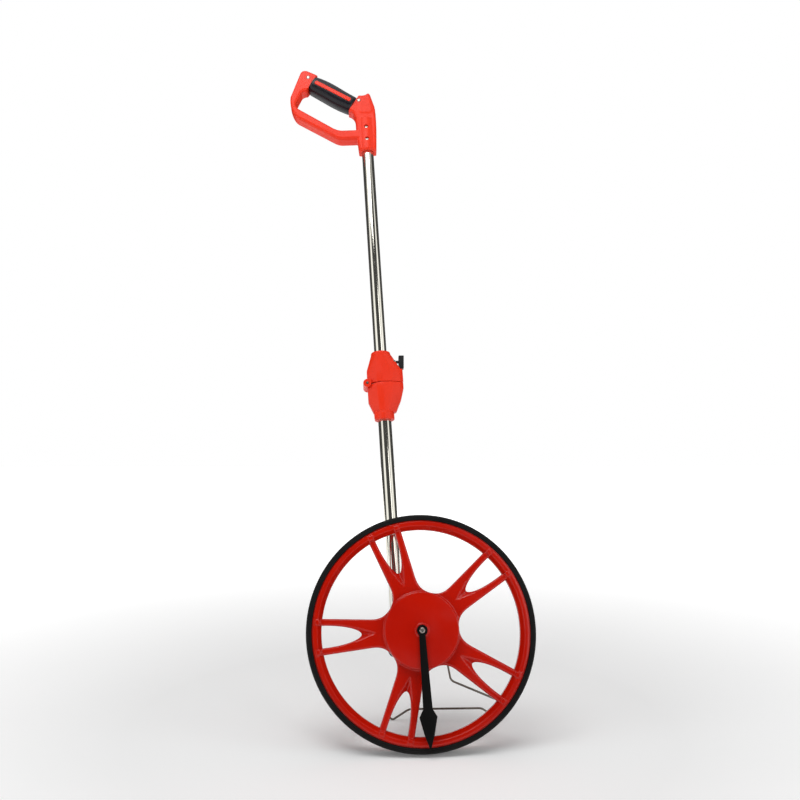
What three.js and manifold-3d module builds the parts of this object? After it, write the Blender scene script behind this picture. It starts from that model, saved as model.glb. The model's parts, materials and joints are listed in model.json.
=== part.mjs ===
// A folding measuring wheel, standing on its wire kickstand.
//
// Everything is drawn in the wheel's own frame, in millimetres: the origin is the hub's centre,
// X runs across the wheel, Y runs along the axle from the pointer to the gear case, and Z runs
// up along the tubes. The last section leans that frame back onto its kickstand and sets the
// finished group down with the floor at Z = 0.

import * as THREE from 'three';
import { ConvexGeometry } from 'three/addons/geometries/ConvexGeometry.js';
import { mergeVertices } from 'three/addons/utils/BufferGeometryUtils.js';
import Module from 'manifold-3d';

const wasm = await Module();
wasm.setup();

// ---------------------------------------------------------------- driving dimensions

const GAP = 0.3;                                // clearance between neighbouring pieces
const LEAN_BACK = THREE.MathUtils.degToRad(13.3); // the whole wheel leans back onto the stand
const LEAN_SIDE = THREE.MathUtils.degToRad(3.3);  // and the tube leans a little to one side

const WHEEL_RADIUS = 1000 / (2 * Math.PI);      // the tread rolls one metre per turn
const WHEEL_SEGMENTS = 64;                      // facets round the tyre and the rim
const TYRE_HALF_WIDTH = 13;
const RIM_RADIUS = 151;
const RIM_HALF_WIDTH = 12;
const RIM_LIP_RADIUS = 143.5;
const RIM_BORE_RADIUS = 138;
const SPOKE_COUNT = 5;
const SPOKE_HALF_DEPTH = 7;
const CROTCH_RADIUS = 82.7;                     // where a spoke splits into its two prongs
const WEB_RADIUS = 52;
const HUB_COVER_RADIUS = 51;
const HUB_COVER_FRONT = -20;
const HUB_BARREL_RADIUS = 15;
const BUSH_RADIUS = 9;

const AXLE_RADIUS = 4;
const AXLE_FRONT = -25.4;
const POINTER_FRONT = -25;
const POINTER_THICKNESS = 2.6;
const POINTER_RING_RADIUS = 7.3;
const POINTER_TIP = -152.5;

const GEAR_TEETH = 24;
const GEAR_MODULE = 1.25;
const GEAR_FRONT = 24;
const GEAR_REAR = 29;
const COUNTER_ANGLE = THREE.MathUtils.degToRad(50); // counter shaft's direction from the axle

const CASE_LEFT = -46;
const CASE_RIGHT = 46;
const CASE_BOTTOM = -34;
const CASE_TOP = 42.5;
const CASE_FRONT = 20;
const CASE_SPLIT = 70;
const CASE_REAR = 78;
const CASE_WALL = 2.8;
const CASE_CORNER = 10;

const DRUM_COUNT = 5;
const DRUM_RADIUS = 14;
const DRUM_WIDTH = 6.4;
const DRUM_PITCH = 6.9;
const DRUM_FIRST = 30.5;                        // front face of the fastest drum
const DRUM_SHAFT_RADIUS = 2;

const TUBE_X = -30;                             // both tubes stand on this line
const TUBE_Y = 56;
const LOWER_TUBE_RADIUS = 10.25;
const UPPER_TUBE_RADIUS = 9.8;
const TUBE_WALL = 0.7;
const LOWER_TUBE_BOTTOM = -16;
const LOWER_TUBE_TOP = 352;
const UPPER_TUBE_BOTTOM = 398;
const UPPER_TUBE_TOP = 850;

const FOLD_PLANE = 375.5;                       // parting plane of the folding joint
const PIN_X = -53.8;                            // the fold turns about this pin, along Y
const PIN_Z = 374.6;
const PIN_RADIUS = 2;
const KNUCKLE_RADIUS = 6.4;
const COLLAR_RADIUS = 15.5;
const LOWER_COLLAR_BOTTOM = 316.5;
const UPPER_COLLAR_TOP = 427.5;
const JOINT_SCREW_LOW = 334;                    // screws that hold the tubes in the joint
const JOINT_SCREW_HIGH = 414;

const LATCH_X = -9.5;                           // the latch lever rocks about this point
const LATCH_Z = 411;

const HANDLE_FRONT = 44;
const HANDLE_REAR = 68;
const HANDLE_SPLIT = 56;
const GRIP_START = new THREE.Vector2(-118.5, 926.5);
const GRIP_END = new THREE.Vector2(-49.5, 881.5);

const STAND_PIVOT_Y = 83;
const STAND_PIVOT_Z = -12;
const STAND_FOOT_Y = 130;
const STAND_WIRE_RADIUS = 1.5;

// ---------------------------------------------------------------- finishes

const finish = (color, roughness, metalness = 0) => ({ color, roughness, metalness });
const RED = finish(0xd6200c, 0.35);
const DARK_RED = finish(0xb0180a, 0.4);
const BLACK = finish(0x111111, 0.6);
const RUBBER = finish(0x15171a, 0.85);
const WHITE = finish(0xe8e6e0, 0.5);
const NYLON = finish(0xd9d4c4, 0.55);
const STEEL = finish(0xb8bcc0, 0.25, 1);
const DARK_STEEL = finish(0x4a4744, 0.4, 1);
const CLEAR = finish(0xcfe0e6, 0.08);

// ---------------------------------------------------------------- solids and shapes

// Turns any closed three.js geometry into a solid that can be joined and cut.
function solid(geometry) {
  const bare = geometry.clone();
  bare.deleteAttribute('normal');
  bare.deleteAttribute('uv');
  const merged = mergeVertices(bare, 1e-4);
  const position = merged.attributes.position;
  const corners = merged.index.array;
  const triangles = [];
  const a = new THREE.Vector3();
  const b = new THREE.Vector3();
  const c = new THREE.Vector3();
  let volume = 0;
  for (let i = 0; i < corners.length; i += 3) {
    const [p, q, r] = [corners[i], corners[i + 1], corners[i + 2]];
    if (p === q || q === r || r === p) continue;
    triangles.push(p, q, r);
    a.fromBufferAttribute(position, p);
    b.fromBufferAttribute(position, q);
    c.fromBufferAttribute(position, r);
    volume += a.dot(b.cross(c));
  }
  if (volume < 0) triangles.reverse();
  return new wasm.Manifold(new wasm.Mesh({
    numProp: 3,
    vertProperties: new Float32Array(position.array),
    triVerts: new Uint32Array(triangles),
  }));
}

const join = (first, ...others) => others.reduce((whole, piece) => whole.add(piece), first);
const cut = (first, ...others) => others.reduce((whole, piece) => whole.subtract(piece), first);

// A solid made into a named mesh with its finish.
function part(name, body, look) {
  const { vertProperties, triVerts } = body.getMesh();
  const geometry = new THREE.BufferGeometry();
  geometry.setAttribute('position', new THREE.BufferAttribute(vertProperties, 3));
  geometry.setIndex(new THREE.BufferAttribute(triVerts, 1));
  geometry.computeVertexNormals();
  const mesh = new THREE.Mesh(geometry, new THREE.MeshStandardMaterial(look));
  mesh.name = name;
  return mesh;
}

// A flat outline in X and Z, extruded along Y from front to rear.
function plate(shape, front, rear, curveSegments = 8) {
  const depth = rear - front;
  const geometry = new THREE.ExtrudeGeometry(shape, { depth, bevelEnabled: false, curveSegments });
  return solid(geometry.rotateX(Math.PI / 2).translate(0, rear, 0));
}

// The same with its front and rear edges chamfered inside the outline.
function chamferedPlate(shape, front, rear, chamfer, curveSegments = 8) {
  const geometry = new THREE.ExtrudeGeometry(shape, {
    depth: rear - front - 2 * chamfer,
    bevelEnabled: true,
    bevelThickness: chamfer,
    bevelSize: chamfer,
    bevelOffset: -chamfer,
    bevelSegments: 1,
    curveSegments,
  });
  return solid(geometry.rotateX(Math.PI / 2).translate(0, rear - chamfer, 0));
}

// A profile of [radius, y] points, turned about a line along Y through (x, z).
function turned(profile, segments, x = 0, z = 0) {
  const points = profile.map(([radius, y]) => new THREE.Vector2(radius, y));
  return solid(new THREE.LatheGeometry(points, segments).translate(x, 0, z));
}

// A closed ring: the same, with the profile closed on itself.
function turnedRing(profile, segments, x = 0, z = 0) {
  return turned([...profile, profile[0]], segments, x, z);
}

// A plain disc or ring along Y.
function disc(radius, front, rear, x = 0, z = 0, segments = 16) {
  return turned([[0, front], [radius, front], [radius, rear], [0, rear]], segments, x, z);
}
function ring(inner, outer, front, rear, x = 0, z = 0, segments = 20) {
  return turnedRing([[inner, front], [outer, front], [outer, rear], [inner, rear]], segments, x, z);
}

// A vertical cylinder on the tube line, or elsewhere.
function post(radius, bottom, top, x = TUBE_X, y = TUBE_Y, segments = 24) {
  const geometry = new THREE.CylinderGeometry(radius, radius, top - bottom, segments);
  return solid(geometry.rotateX(Math.PI / 2).translate(x, y, (bottom + top) / 2));
}

// A block between two corners.
function block([x0, x1], [y0, y1], [z0, z1]) {
  const geometry = new THREE.BoxGeometry(x1 - x0, y1 - y0, z1 - z0);
  return solid(geometry.translate((x0 + x1) / 2, (y0 + y1) / 2, (z0 + z1) / 2));
}

function polygon(...points) {
  return new THREE.Shape(points.map(([x, z]) => new THREE.Vector2(x, z)));
}

function roundedRectangle(left, right, bottom, top, radius) {
  const shape = new THREE.Shape();
  shape.moveTo(left + radius, bottom);
  shape.lineTo(right - radius, bottom);
  shape.absarc(right - radius, bottom + radius, radius, -Math.PI / 2, 0);
  shape.lineTo(right, top - radius);
  shape.absarc(right - radius, top - radius, radius, 0, Math.PI / 2);
  shape.lineTo(left + radius, top);
  shape.absarc(left + radius, top - radius, radius, Math.PI / 2, Math.PI);
  shape.lineTo(left, bottom + radius);
  shape.absarc(left + radius, bottom + radius, radius, Math.PI, 1.5 * Math.PI);
  return shape;
}

// A pan-head screw along Y with a cross recess; its head's top is at `face`, and `into` is the
// direction in which the shank runs: 1 towards the rear, -1 towards the front.
function screw({ x, z, face, into, headRadius = 3, headHeight = 2, shankRadius = 1.3, length = 10 }) {
  const underHead = face + into * headHeight;
  const tip = underHead + into * length;
  const body = turned([
    [0, face], [headRadius * 0.8, face], [headRadius, underHead],
    [shankRadius, underHead], [shankRadius, tip], [0, tip],
  ], 12, x, z);
  const armLength = headRadius * 0.55;
  const armWidth = headRadius * 0.14;
  const recess = [face - into, face + into * headHeight * 0.5].sort((p, q) => p - q);
  const slot = block([x - armLength, x + armLength], recess, [z - armWidth, z + armWidth]);
  const crossSlot = block([x - armWidth, x + armWidth], recess, [z - armLength, z + armLength]);
  return cut(body, slot, crossSlot);
}

// The hole that a screw's shank runs in.
const screwHole = (x, z, front, rear, radius = 1.7) => disc(radius, front, rear, x, z, 12);

// ---------------------------------------------------------------- wheel

// One split spoke, pointing along +X: straight flanks that spread a little, a concave root,
// and a pointed-arch opening between its two prongs.
function spokeShape() {
  const reach = RIM_LIP_RADIUS - 3;
  const shape = new THREE.Shape();
  shape.moveTo(44, -30);
  shape.bezierCurveTo(50, -21, 56, -18, 70, -19);
  shape.lineTo(reach, -24.6);
  shape.lineTo(reach, -15);
  shape.bezierCurveTo(106, -14.2, CROTCH_RADIUS, -6.2, CROTCH_RADIUS, 0);
  shape.bezierCurveTo(CROTCH_RADIUS, 6.2, 106, 14.2, reach, 15);
  shape.lineTo(reach, 24.6);
  shape.lineTo(70, 19);
  shape.bezierCurveTo(56, 18, 50, 21, 44, 30);
  return shape;
}

function spokedWheel() {
  const rim = turnedRing([
    [RIM_RADIUS, -RIM_HALF_WIDTH + 1], [RIM_RADIUS, RIM_HALF_WIDTH - 1],
    [RIM_RADIUS - 1, RIM_HALF_WIDTH], [RIM_LIP_RADIUS, RIM_HALF_WIDTH], [RIM_BORE_RADIUS, 3],
    [RIM_BORE_RADIUS, -3], [RIM_LIP_RADIUS, -RIM_HALF_WIDTH], [RIM_RADIUS - 1, -RIM_HALF_WIDTH],
  ], WHEEL_SEGMENTS);
  const hub = turnedRing([
    [BUSH_RADIUS + GAP, -12.4], [HUB_BARREL_RADIUS, -12.4], [HUB_BARREL_RADIUS, -9],
    [WEB_RADIUS - 4, -9], [WEB_RADIUS - 4, -12], [WEB_RADIUS, -12],
    [WEB_RADIUS, 3], [WEB_RADIUS - 2, 5], [HUB_BARREL_RADIUS, 5], [HUB_BARREL_RADIUS, 13],
    [BUSH_RADIUS + GAP, 13],
  ], WHEEL_SEGMENTS / 2);
  let wheel = hub;
  for (let i = 0; i < SPOKE_COUNT; i++) {
    const spoke = chamferedPlate(spokeShape(), -SPOKE_HALF_DEPTH - 1.5, SPOKE_HALF_DEPTH, 2.5, 4);
    wheel = wheel.add(spoke.rotate([0, 36 - i * 360 / SPOKE_COUNT, 0]));
  }
  const bushBore = disc(BUSH_RADIUS + GAP, -20, 20, 0, 0, 24);
  return cut(wheel, bushBore).add(rim);
}

function tyre() {
  const half = TYRE_HALF_WIDTH;
  return turnedRing([
    [RIM_RADIUS + GAP, -half + 0.5], [WHEEL_RADIUS - 3, -half], [WHEEL_RADIUS - 1, -half + 2],
    [WHEEL_RADIUS, -half + 6], [WHEEL_RADIUS, half - 6], [WHEEL_RADIUS - 1, half - 2],
    [WHEEL_RADIUS - 3, half], [RIM_RADIUS + GAP, half - 0.5],
  ], WHEEL_SEGMENTS);
}

// The flat round cover over the hub's front, with a low boss round the axle.
function hubCover() {
  const face = HUB_COVER_FRONT;
  const bore = AXLE_RADIUS + GAP + 0.4;
  return turnedRing([
    [bore, face - 1.4], [9, face - 1.4], [10, face], [HUB_COVER_RADIUS - 2.5, face],
    [HUB_COVER_RADIUS, face + 2.5], [HUB_COVER_RADIUS, face + 7.5],
    [HUB_COVER_RADIUS - 3, face + 7.5], [HUB_COVER_RADIUS - 3, face + 3.5], [bore, face + 3.5],
  ], WHEEL_SEGMENTS / 2);
}

// A plain bush between the wheel's hub and the axle.
function bush(inner, outer) {
  return ring(AXLE_RADIUS + 0.2, BUSH_RADIUS, inner, outer, 0, 0, 24);
}

// A spur gear with straight-flanked teeth, the first one centred at `phase`.
function gearShape(phase) {
  const pitchRadius = GEAR_MODULE * GEAR_TEETH / 2;
  const tip = pitchRadius + 0.85 * GEAR_MODULE;
  const root = pitchRadius - 1.25 * GEAR_MODULE;
  const tooth = 2 * Math.PI / GEAR_TEETH;
  const points = [];
  for (let i = 0; i < GEAR_TEETH; i++) {
    const middle = phase + i * tooth;
    for (const [radius, share] of [[root, -0.28], [tip, -0.12], [tip, 0.12], [root, 0.28]]) {
      const angle = middle + share * tooth;
      points.push(new THREE.Vector2(radius * Math.cos(angle), radius * Math.sin(angle)));
    }
  }
  return new THREE.Shape(points);
}

// The gear behind the hub, with the neck that fixes it to the wheel.
function hubDriveGear() {
  const wheelGear = plate(gearShape(COUNTER_ANGLE), GEAR_FRONT, GEAR_REAR);
  const neck = disc(9, 13 + GAP, GEAR_FRONT + 1, 0, 0, 24);
  return cut(wheelGear.add(neck), disc(AXLE_RADIUS + 0.3, 10, 35, 0, 0, 20));
}

// ---------------------------------------------------------------- axle and pointer

function axle() {
  return turned([
    [0, AXLE_FRONT + 7], [2, AXLE_FRONT + 7], [2, AXLE_FRONT], [AXLE_RADIUS - 0.6, AXLE_FRONT],
    [AXLE_RADIUS, AXLE_FRONT + 0.8], [AXLE_RADIUS, CASE_REAR - 1], [AXLE_RADIUS - 1, CASE_REAR],
    [0, CASE_REAR],
  ], 20);
}

// The arrow-headed pointer, fixed on the axle's front end.
function pointer() {
  const shoulder = -101;
  const barb = -111;
  const shape = new THREE.Shape();
  shape.absarc(0, 0, POINTER_RING_RADIUS, -0.32 * Math.PI, 1.32 * Math.PI);
  shape.lineTo(-6.4, shoulder);
  shape.lineTo(-12, barb);
  shape.lineTo(-6.5, -134);
  shape.lineTo(0, POINTER_TIP);
  shape.lineTo(6.5, -134);
  shape.lineTo(12, barb);
  shape.lineTo(6.4, shoulder);
  const body = chamferedPlate(shape, POINTER_FRONT, POINTER_FRONT + POINTER_THICKNESS, 0.5, 12);
  return cut(body, disc(AXLE_RADIUS + GAP, -30, -10, 0, 0, 20));
}

// The screw in the axle's front end, clamping the pointer.
function pointerScrew() {
  return screw({
    x: 0, z: 0, face: POINTER_FRONT - 2.6, into: 1,
    headRadius: 3.9, headHeight: 2, shankRadius: 1.6, length: 5.5,
  });
}

// The hexagon nut that holds the axle in the case cover.
function axleNut() {
  const hexagon = [0, 1, 2, 3, 4, 5].map((i) => i * Math.PI / 3)
    .map((angle) => [6.5 * Math.cos(angle), 6.5 * Math.sin(angle)]);
  const nut = plate(polygon(...hexagon), CASE_REAR - 5, CASE_REAR - 0.5);
  return cut(nut, disc(AXLE_RADIUS + 0.2, 60, 90, 0, 0, 20));
}

// ---------------------------------------------------------------- gear case and counter

const PITCH_CENTRES = GEAR_MODULE * GEAR_TEETH;
const COUNTER_X = PITCH_CENTRES * Math.cos(COUNTER_ANGLE);
const COUNTER_Z = PITCH_CENTRES * Math.sin(COUNTER_ANGLE);
const DRUM_END = DRUM_FIRST + DRUM_COUNT * DRUM_PITCH;
const WINDOW_LEFT = COUNTER_X - 11;
const WINDOW_RIGHT = COUNTER_X + 9;
const BUTTON_Y = 45;
const BUTTON_Z = -12;
const BUTTON_RADIUS = 6;
const TUBE_SCREW_Z = -6;

// Where the four screws hold the case cover.
const CASE_SCREWS = [[39, -27.4], [39, 35.6], [-10, 35.8], [-39, -27.4]];

function gearCase() {
  const outside = roundedRectangle(CASE_LEFT, CASE_RIGHT, CASE_BOTTOM, CASE_TOP, CASE_CORNER);
  const inside = roundedRectangle(
    CASE_LEFT + CASE_WALL, CASE_RIGHT - CASE_WALL, CASE_BOTTOM + CASE_WALL, CASE_TOP - CASE_WALL,
    CASE_CORNER - CASE_WALL,
  );
  const shell = cut(
    plate(outside, CASE_FRONT, CASE_SPLIT, 4),
    plate(inside, CASE_FRONT + CASE_WALL, CASE_SPLIT + 1, 4),
  );
  const socket = block([CASE_LEFT + 1, TUBE_X + 13], [TUBE_Y - 13, CASE_SPLIT - 1], [-21, CASE_TOP - 1]);
  const bosses = CASE_SCREWS.map(([x, z]) => disc(4.2, CASE_FRONT + 1, CASE_SPLIT, x, z, 12));
  const shaftBoss = disc(4, CASE_FRONT + 1, GEAR_FRONT - 0.5, COUNTER_X, COUNTER_Z, 16);
  const buttonHole = solid(
    new THREE.CylinderGeometry(BUTTON_RADIUS + GAP, BUTTON_RADIUS + GAP, 10, 20)
      .rotateZ(Math.PI / 2).translate(CASE_RIGHT, BUTTON_Y, BUTTON_Z),
  );
  return cut(
    join(shell, socket, shaftBoss, ...bosses),
    post(LOWER_TUBE_RADIUS + 0.45, LOWER_TUBE_BOTTOM - GAP, CASE_TOP + 5),
    disc(10.3, CASE_FRONT - 1, CASE_FRONT + 5, 0, 0, 24),
    disc(DRUM_SHAFT_RADIUS + GAP, CASE_FRONT + 1, CASE_FRONT + 8, COUNTER_X, COUNTER_Z, 16),
    block([WINDOW_LEFT, WINDOW_RIGHT], [DRUM_FIRST - 0.5, DRUM_END], [CASE_TOP - 6, CASE_TOP + 6]),
    buttonHole,
    tubeScrewHole(TUBE_X),
    ...CASE_SCREWS.map(([x, z]) => screwHole(x, z, CASE_SPLIT - 16, CASE_SPLIT + 1)),
  );
}

// The case's rear lid, with the long boss that carries the axle.
function gearCaseCover() {
  const outside = roundedRectangle(CASE_LEFT, CASE_RIGHT, CASE_BOTTOM, CASE_TOP, CASE_CORNER);
  const lid = chamferedPlate(outside, CASE_SPLIT - 2 + GAP, CASE_REAR, 2, 4);
  const seat = block(
    [CASE_LEFT - 1, CASE_RIGHT + 1], [CASE_SPLIT - 5, CASE_SPLIT + GAP], [CASE_BOTTOM - 1, CASE_TOP + 1],
  );
  const axleBoss = disc(7.4, GEAR_REAR + 2, CASE_SPLIT + 2, 0, 0, 20);
  const shaftBoss = disc(4, DRUM_END + 0.6, CASE_SPLIT + 2, COUNTER_X, COUNTER_Z, 16);
  const nutPocket = disc(7.2, CASE_REAR - 5 - GAP, CASE_REAR + 1, 0, 0, 24);
  return cut(
    join(cut(lid, seat), axleBoss, shaftBoss),
    nutPocket,
    disc(AXLE_RADIUS + GAP, 0, CASE_REAR + 1, 0, 0, 20),
    disc(DRUM_SHAFT_RADIUS + GAP, 60, CASE_REAR - 5, COUNTER_X, COUNTER_Z, 16),
    ...CASE_SCREWS.map(([x, z]) => screwHole(x, z, CASE_SPLIT - 1, CASE_REAR + 1)),
    ...CASE_SCREWS.map(([x, z]) => disc(3.4, CASE_REAR - 2.3, CASE_REAR + 1, x, z, 16)),
  );
}

// The clear pane over the digits, with a plug that fits the opening in the case's top.
function counterWindow() {
  const pane = block(
    [WINDOW_LEFT - 2, WINDOW_RIGHT + 2], [DRUM_FIRST - 2.5, DRUM_END + 2], [CASE_TOP + GAP, CASE_TOP + 1.6],
  );
  const plug = block(
    [WINDOW_LEFT + GAP, WINDOW_RIGHT - GAP], [DRUM_FIRST - 0.5 + GAP, DRUM_END - GAP],
    [CASE_TOP - 2, CASE_TOP + 1],
  );
  return pane.add(plug);
}

function drumShaft() {
  return disc(DRUM_SHAFT_RADIUS, CASE_FRONT + 1.5, CASE_REAR - 5.5, COUNTER_X, COUNTER_Z, 16);
}

// The gear that turns the fastest drum, meshed one to one with the gear behind the hub.
function counterGear() {
  const halfTooth = Math.PI / GEAR_TEETH;
  const shape = gearShape(COUNTER_ANGLE + Math.PI + halfTooth);
  const body = plate(shape, GEAR_FRONT, GEAR_REAR).translate([COUNTER_X, 0, COUNTER_Z]);
  return cut(body, disc(DRUM_SHAFT_RADIUS + 0.2, 20, 35, COUNTER_X, COUNTER_Z, 16));
}

function digitDrum(order) {
  const front = DRUM_FIRST + order * DRUM_PITCH;
  const rear = front + DRUM_WIDTH;
  return turnedRing([
    [DRUM_SHAFT_RADIUS + 0.2, front], [DRUM_RADIUS, front],
    [DRUM_RADIUS, rear], [DRUM_SHAFT_RADIUS + 0.2, rear],
  ], 20, COUNTER_X, COUNTER_Z);
}

// The reset button on the case's right side; it slides towards the counter.
function resetButton() {
  const cap = new THREE.CylinderGeometry(BUTTON_RADIUS, BUTTON_RADIUS, 7, 20);
  const stem = new THREE.CylinderGeometry(1.6, 1.6, 12, 12);
  return join(
    solid(cap.rotateZ(Math.PI / 2).translate(CASE_RIGHT + 1.5, BUTTON_Y, BUTTON_Z)),
    solid(stem.rotateZ(Math.PI / 2).translate(CASE_RIGHT - 7, BUTTON_Y, BUTTON_Z)),
  );
}

// The button's return spring, drawn as a sleeve with its turns as ridges.
function resetSpring() {
  const profile = [];
  const turns = 4;
  const pitch = 1.6;
  for (let i = 0; i < turns; i++) {
    profile.push([4, i * pitch], [4.6, i * pitch + 0.5], [4, i * pitch + 1]);
  }
  const bore = [[2.4, (turns - 1) * pitch + 1], [2.4, 0]];
  const points = [...profile, ...bore, profile[0]].map(([radius, y]) => new THREE.Vector2(radius, y));
  const geometry = new THREE.LatheGeometry(points, 10);
  return solid(geometry.rotateZ(Math.PI / 2).translate(CASE_RIGHT - 2.6, BUTTON_Y, BUTTON_Z));
}

// The hole along X from outside the case's left wall to `end`, for the screw that holds the tube.
function tubeScrewHole(end) {
  const start = CASE_LEFT - 5;
  const geometry = new THREE.CylinderGeometry(1.9, 1.9, end - start, 12).rotateZ(Math.PI / 2);
  return solid(geometry.translate((start + end) / 2, TUBE_Y, TUBE_SCREW_Z));
}

function tubeScrew() {
  const body = screw({
    x: 0, z: 0, face: 0, into: 1, headRadius: 3.4, headHeight: 2.2, shankRadius: 1.5, length: 11,
  });
  return body.rotate([0, 0, -90]).translate([CASE_LEFT - 2.5, TUBE_Y, TUBE_SCREW_Z]);
}

// ---------------------------------------------------------------- kickstand

// A wire bent at its corners: even steps of t fall on the straights' ends and round the bends.
class BentWire extends THREE.Curve {
  constructor(corners, bendSteps) {
    super();
    this.route = [corners[0].at];
    for (let i = 1; i < corners.length - 1; i++) {
      const corner = corners[i].at;
      const towards = (other) => other.at.clone().sub(corner).setLength(corners[i].bend).add(corner);
      const [start, end] = [towards(corners[i - 1]), towards(corners[i + 1])];
      const bend = new THREE.QuadraticBezierCurve3(start, corner, end);
      this.route.push(...bend.getPoints(bendSteps));
    }
    this.route.push(corners[corners.length - 1].at);
  }

  get steps() {
    return this.route.length - 1;
  }

  getPoint(t, target = new THREE.Vector3()) {
    const index = Math.min(Math.floor(t * this.steps + 1e-6), this.steps - 1);
    return target.lerpVectors(this.route[index], this.route[index + 1], t * this.steps - index);
  }

  getTangent(t, target = new THREE.Vector3()) {
    const here = Math.round(t * this.steps);
    const before = this.route[Math.max(here - 1, 0)];
    const at = this.route[here];
    const after = this.route[Math.min(here + 1, this.steps)];
    const incoming = at.clone().sub(before).normalize();
    return target.copy(after).sub(at).normalize().add(incoming).normalize();
  }

  getUtoTmapping(u) {
    return u;
  }
}

const STAND_SCREW_XS = [10, 29];
const STAND_SCREW_Z = STAND_PIVOT_Z + 8.6;

// The stand is level with the floor, so it is drawn turned by the tube's sideways lean.
// Its wire lies in one plane that slopes back from the pivot to the feet; the corners at the
// feet reach a little lower than FOOT_DROP, because their bends cut the corner.
const FLOOR_BELOW_HUB = (WHEEL_RADIUS - 1) * Math.cos(LEAN_BACK)
  + (TYRE_HALF_WIDTH - 2) * Math.sin(LEAN_BACK);
const FOOT_HEIGHT = STAND_WIRE_RADIUS - FLOOR_BELOW_HUB;
const FOOT_Z = (STAND_FOOT_Y * Math.sin(LEAN_BACK) + FOOT_HEIGHT) / Math.cos(LEAN_BACK);
const FOOT_DROP = STAND_PIVOT_Z - FOOT_Z;
const STAND_SLOPE = (STAND_FOOT_Y - STAND_PIVOT_Y) / FOOT_DROP;

function kickstandWire() {
  const corner = (x, drop, bend) => ({
    at: new THREE.Vector3(x, STAND_PIVOT_Y + drop * STAND_SLOPE, STAND_PIVOT_Z - drop),
    bend,
  });
  const barDrop = FOOT_DROP - 14.5;
  const wire = new BentWire([
    corner(8, 0), corner(37, 0, 4), corner(50, 61, 6), corner(131, FOOT_DROP - 22, 5),
    corner(121, FOOT_DROP + 1.05, 3), corner(97, barDrop, 5), corner(-12, barDrop, 5),
    corner(-36.5, FOOT_DROP + 0.8, 3), corner(-42, FOOT_DROP - 3),
  ], 4);
  const section = new THREE.Shape().absarc(0, 0, STAND_WIRE_RADIUS, 0, 2 * Math.PI);
  const extrusion = { steps: wire.steps, extrudePath: wire, curveSegments: 4 };
  return solid(new THREE.ExtrudeGeometry(section, extrusion));
}

// The saddle that holds the wire's turned end against the case cover.
function standBracket() {
  const front = CASE_REAR + GAP;
  const base = block([5, 34], [front, CASE_REAR + 2.8], [STAND_PIVOT_Z - 5, STAND_PIVOT_Z + 13]);
  const saddle = block([11, 33], [front, STAND_PIVOT_Y + 4.5], [STAND_PIVOT_Z - 4.5, STAND_PIVOT_Z + 4.5]);
  const bore = new THREE.CylinderGeometry(STAND_WIRE_RADIUS + 0.25, STAND_WIRE_RADIUS + 0.25, 60, 16);
  const wireBore = solid(bore.rotateZ(Math.PI / 2).translate(20, STAND_PIVOT_Y, STAND_PIVOT_Z));
  return cut(join(base, saddle), wireBore, ...STAND_SCREW_XS.map((x) => screwHole(x, STAND_SCREW_Z, 70, 90)));
}

// ---------------------------------------------------------------- tubes

function tube(radius, bottom, top, ...screwHoles) {
  return cut(post(radius, bottom, top), post(radius - TUBE_WALL, bottom - 1, top + 1), ...screwHoles);
}

function lowerTube() {
  const jointHole = screwHole(TUBE_X, JOINT_SCREW_LOW, TUBE_Y, TUBE_Y + 20);
  return tube(LOWER_TUBE_RADIUS, LOWER_TUBE_BOTTOM, LOWER_TUBE_TOP, jointHole, tubeScrewHole(TUBE_X));
}

function upperTube() {
  const jointHole = screwHole(TUBE_X, JOINT_SCREW_HIGH, TUBE_Y, TUBE_Y + 20);
  const handleHoles = HANDLE_TUBE_SCREWS.map(([x, z]) => screwHole(x, z, HANDLE_FRONT, TUBE_Y));
  return tube(UPPER_TUBE_RADIUS, UPPER_TUBE_BOTTOM, UPPER_TUBE_TOP, jointHole, ...handleHoles);
}

// ---------------------------------------------------------------- folding joint

// An eight-cornered section of the joint's faceted body at one height.
function facetedSection(z, left, right, halfDepth) {
  const leftFlat = halfDepth * 0.45;
  const rightFlat = halfDepth * 0.5;
  const shoulder = (right - left) * 0.3;
  return [
    [left, -leftFlat], [left + shoulder, -halfDepth], [right - shoulder, -halfDepth], [right, -rightFlat],
    [right, rightFlat], [right - shoulder, halfDepth], [left + shoulder, halfDepth], [left, leftFlat],
  ].map(([x, y]) => new THREE.Vector3(x, TUBE_Y + y, z));
}

const hull = (...sections) => solid(new ConvexGeometry(sections.flat()));

// The three bands of knuckle along the pin: the upper half has the two outer ones.
const KNUCKLE_OUTER = 16.5;
const KNUCKLE_INNER = 8;
const knuckleBand = (radius, from, to) => disc(radius, TUBE_Y + from, TUBE_Y + to, PIN_X, PIN_Z, 20);

// Beyond the pin there is only knuckle, so that the halves can lie side by side when folded.
const beyondPin = (from, to) => block([PIN_X - 20, PIN_X + 0.2], [TUBE_Y - 30, TUBE_Y + 30], [from, to]);

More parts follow.
